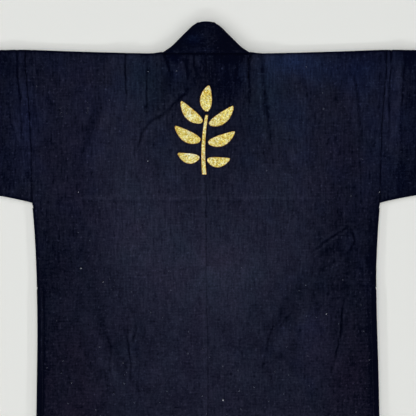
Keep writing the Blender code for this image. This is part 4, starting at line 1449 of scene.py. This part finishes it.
# Gold cloth: glinting cells, lumps, stains and a wide sheen, in lumps per metre, and how far each one
# turns the colour paler, deeper or cooler. A range is of tones, from no such colour to all of it. Each cell
# leans its own way
GOLD_CELLS = 680.0
GOLD_LUMPS = ((300, 300, 300), 2.0, 0.6)
GOLD_STAINS = ((70, 70, 70), 2.0, 0.5)
GOLD_SHEEN = ((48, 48, 48), 2.0, 0.5)
GLINT_TONE = 0.9
LUMP_TONE = 1.9
STAIN_TONE = 1.2
PALE_RANGE = (0.42, 0.9)
DEEP_RANGE = (0.38, -0.15)
SHEEN_STRENGTH = 3.0
GLINT_SHEEN = 0.7
LUMP_SHEEN = 1.2
COOL_RANGE = (0.6, 1.7)
COOL_GLINT = (0.80, 0.88, 0.79, 1)
CELL_TILT = (0.5, 0.5, 0.5)
GOLD_METALLIC = 0.6
GOLD_ROUGHNESS = 0.38


def gold_lame(name, base, pale, deep):
    """Crinkled metallic cloth: cells of paler and deeper gold that each catch the light differently."""
    nodes = Nodes(name)
    grain = nodes.add("ShaderNodeTexCoord", {}).outputs["Object"]
    cells = nodes.add("ShaderNodeTexVoronoi", {"Vector": grain, "Scale": GOLD_CELLS})
    lumps = nodes.noise(grain, *GOLD_LUMPS)
    stains = nodes.noise(grain, *GOLD_STAINS)
    glint = nodes.add("ShaderNodeSeparateColor", {"Color": cells.outputs["Color"]}).outputs[0]
    tone = nodes.sum((glint, GLINT_TONE), (lumps, LUMP_TONE), (stains, STAIN_TONE))
    colour = nodes.mix(nodes.ramp(tone, *PALE_RANGE), base, pale)
    colour = nodes.mix(nodes.ramp(tone, *DEEP_RANGE), colour, deep)
    sheen = nodes.noise(grain, *GOLD_SHEEN)
    sheen = nodes.sum((sheen, SHEEN_STRENGTH), (glint, GLINT_SHEEN), (lumps, LUMP_SHEEN))
    colour = nodes.mix(nodes.ramp(sheen, *COOL_RANGE), colour, COOL_GLINT)
    tilt = nodes.vector("SUBTRACT", cells.outputs["Color"], (0.5, 0.5, 0.5))
    normal = nodes.add("ShaderNodeNewGeometry", {}).outputs["Normal"]
    leaning = nodes.vector("NORMALIZE", nodes.vector("MULTIPLY_ADD", tilt, CELL_TILT, normal))
    look = {"Base Color": colour, "Normal": leaning, "Metallic": GOLD_METALLIC}
    return nodes.shade({**look, "Roughness": GOLD_ROUGHNESS})


THREAD_LUMPS = ((900, 900, 900), 2.0, 0.6)
THREAD_RANGE = (-0.3, 0.3)
THREAD_ROUGHNESS = 0.8
THREAD_GLOSS = 0.1


def thread(name, colour, other):
    """Plain thread or fibre, uneven in tone."""
    nodes = Nodes(name)
    uneven = nodes.noise(nodes.add("ShaderNodeTexCoord", {}).outputs["Object"], *THREAD_LUMPS)
    uneven = nodes.mix(nodes.ramp(uneven, *THREAD_RANGE), colour, other)
    look = {"Base Color": uneven, "Roughness": THREAD_ROUGHNESS}
    return nodes.shade({**look, "Specular IOR Level": THREAD_GLOSS})


# Colours of the gold, each its base, palest and deepest, and of threads and fibres
LEAF_GOLDS = ((0.76, 0.645, 0.12, 1), (0.92, 0.90, 0.55, 1), (0.50, 0.29, 0.02, 1))
RIM_GOLDS = ((0.52, 0.29, 0.06, 1), (0.80, 0.55, 0.18, 1), (0.28, 0.12, 0.02, 1))
SEWING_TONES = ((0.006, 0.007, 0.016, 1), (0.013, 0.015, 0.03, 1))
LINT_TONES = ((0.42, 0.44, 0.50, 1), (0.62, 0.64, 0.68, 1))
WORN_TONES = ((0.09, 0.10, 0.14, 1), (0.18, 0.19, 0.24, 1))

# Camera: straight above. The picture is 416 pixels wide and high
PICTURE_PIXELS = 416
METRES_PER_PIXEL = 1.84 * MM
SEAM_PIXEL = (207.0, 53.6)
CAMERA_HEIGHT = 2.5
SENSOR = 36.0


def camera():
    data = bpy.data.cameras.new("camera")
    data.sensor_width = SENSOR
    data.lens = SENSOR * CAMERA_HEIGHT / (PICTURE_PIXELS * METRES_PER_PIXEL)
    seen = place("camera", data)
    middle = PICTURE_PIXELS / 2
    x = (middle - SEAM_PIXEL[0]) * METRES_PER_PIXEL
    y = NECK_Y - (middle - SEAM_PIXEL[1]) * METRES_PER_PIXEL
    seen.location = (x, y, CAMERA_HEIGHT)
    bpy.context.scene.camera = seen


# Low soft lights round the coat, which give its wide faint shadow: elevations in degrees, width in
# metres, and the share of the floor's light
Softbox = collections.namedtuple("Softbox", "name side_x side_y low high width share")
SOFTBOXES = table_of(Softbox, [
    ("foot_low", 0, -1, 14.5, 17, 8.9, 0.13),
    ("foot_high", 0, -1, 17, 45, 8.9, 0.10),
    ("head", 0, 1, 26, 50, 7.1, 0.14),
    ("left_low", -1, 0, 11, 13, 8.9, 0.11),
    ("left_high", -1, 0, 13, 45, 8.9, 0.10),
    ("right_low", 1, 0, 11, 13, 8.9, 0.10),
    ("right_high", 1, 0, 13, 45, 8.9, 0.04),
])
OVERHEAD_SHARE = 0.20
OVERHEAD_SHIFT = 0.6
SKY_SHARE = 0.08
FLOOR_HALF = 8.0
FLOOR_COLOUR = (0.80, 0.81, 0.785, 1)
FLOOR_ROUGHNESS = 0.9
FLOOR_LIGHT = 3.36
FLOOR_CENTRE = (0.02, 0.02, 0)
SOFTBOX_DISTANCE = 8.0
OVERHEAD_HEIGHT = 3.2
OVERHEAD_SIZE = 1.1


def area_light(name, spot, size, share):
    """A soft light that gives the floor's centre this share of its light."""
    beam = Vector(FLOOR_CENTRE) - Vector(spot)
    data = bpy.data.lights.new(name, "AREA")
    data.shape = "RECTANGLE"
    data.size, data.size_y = size
    data.energy = share * FLOOR_LIGHT * math.pi * beam.length_squared / (-beam.normalized().z)
    lamp = place(name, data)
    lamp.location = spot
    lamp.rotation_euler = beam.to_track_quat("-Z", "Y").to_euler()
    lamp.visible_camera = False


def studio():
    """A pale floor, a soft light overhead, and low soft lights all round for the coat's faint shadow."""
    floor_mesh = bpy.data.meshes.new("floor")
    sheet = bmesh.new()
    bmesh.ops.create_grid(sheet, x_segments=1, y_segments=1, size=FLOOR_HALF)
    sheet.to_mesh(floor_mesh)
    sheet.free()
    paper = Nodes("pale_floor")
    floor_mesh.materials.append(paper.shade({"Base Color": FLOOR_COLOUR, "Roughness": FLOOR_ROUGHNESS}))
    place("floor", floor_mesh)
    x, y, _ = FLOOR_CENTRE
    overhead = (x, y + OVERHEAD_SHIFT, OVERHEAD_HEIGHT)
    area_light("overhead", overhead, (OVERHEAD_SIZE, OVERHEAD_SIZE), OVERHEAD_SHARE)
    for box in SOFTBOXES:
        low, high = (SOFTBOX_DISTANCE * math.tan(math.radians(angle)) for angle in (box.low, box.high))
        spot = (x + SOFTBOX_DISTANCE * box.side_x, y + SOFTBOX_DISTANCE * box.side_y, (low + high) / 2)
        area_light(box.name, spot, (box.width, high - low), box.share)
    world = bpy.data.worlds.new("studio")
    world.use_nodes = True
    sky = world.node_tree.nodes["Background"]
    sky.inputs["Color"].default_value = (1, 1, 1, 1)
    sky.inputs["Strength"].default_value = SKY_SHARE * FLOOR_LIGHT / math.pi
    bpy.context.scene.world = world
    bpy.context.scene.view_settings.view_transform = "Standard"


# How many ribs a leaf's area is worked out from
LEAF_AREA_RIBS = 200


def dress(piece, slot, *nodes):
    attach(piece, "root")
    if nodes:
        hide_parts(*nodes)


def sprig(finish, rim_finish):
    """The gold sprig's stem and leaves."""
    stem, *narrow = leaf_piece("stem", STEM, stem_half, finish, rim_finish)
    dress(stem, "gold_lame", "sprig_stem")
    narrow.append(stem)
    dress(narrow[0], "gold_lame")
    for number, leaf in enumerate(LEAVES, 1):
        name = f"leaf_{number}"
        piece, rim = leaf_piece(name, leaf, leaf_half, finish, rim_finish)
        dress(piece, "gold_lame", f"sprig_leaf_{number}")
        dress(rim, "gold_lame")
        rib = np.linspace(0, 1, LEAF_AREA_RIBS)
        length = float(np.hypot(*leaf_run(leaf)))
        area = float(2 * leaf_half(leaf, rib).mean() * length)
    return narrow


def main():
    camera()
    studio()
    cotton = indigo_cotton("indigo_cotton_weave")
    collar_cotton = indigo_cotton("collar_cotton_weave")
    gold = gold_lame("gold_lame", *LEAF_GOLDS)
    rim_gold = gold_lame("gold_rim", *RIM_GOLDS)
    sewing = thread("sewing_thread", *SEWING_TONES)
    fluff = thread("lint_fibre", *LINT_TONES)
    fuzz = thread("worn_fibre", *WORN_TONES)
    left = body_panel("body_left", -1, cotton)
    right = body_panel("body_right", 1, cotton)
    arms = [sleeve("arm_left", -1, cotton), sleeve("arm_right", 1, cotton)]
    band = collar("neck_band", collar_cotton)
    random = np.random.default_rng(SPECK_SEED)
    loose = [stitches("hem_stitches", sewing)]
    loose.append(lint("lint", SPECKS, fluff, random))
    loose.append(lint("pilling", faint_specks(random), fuzz, random))
    nodes = ("body_panel_left", "body_panel_right", "sleeve_left", "sleeve_right")
    for piece, node in zip((left, right, *arms), nodes):
        dress(piece, "indigo_cotton", node)
    dress(band, "collar_cotton", "collar_band")
    for piece in loose:
        dress(piece, "indigo_cotton")
    loose += sprig(gold, rim_gold)


main()
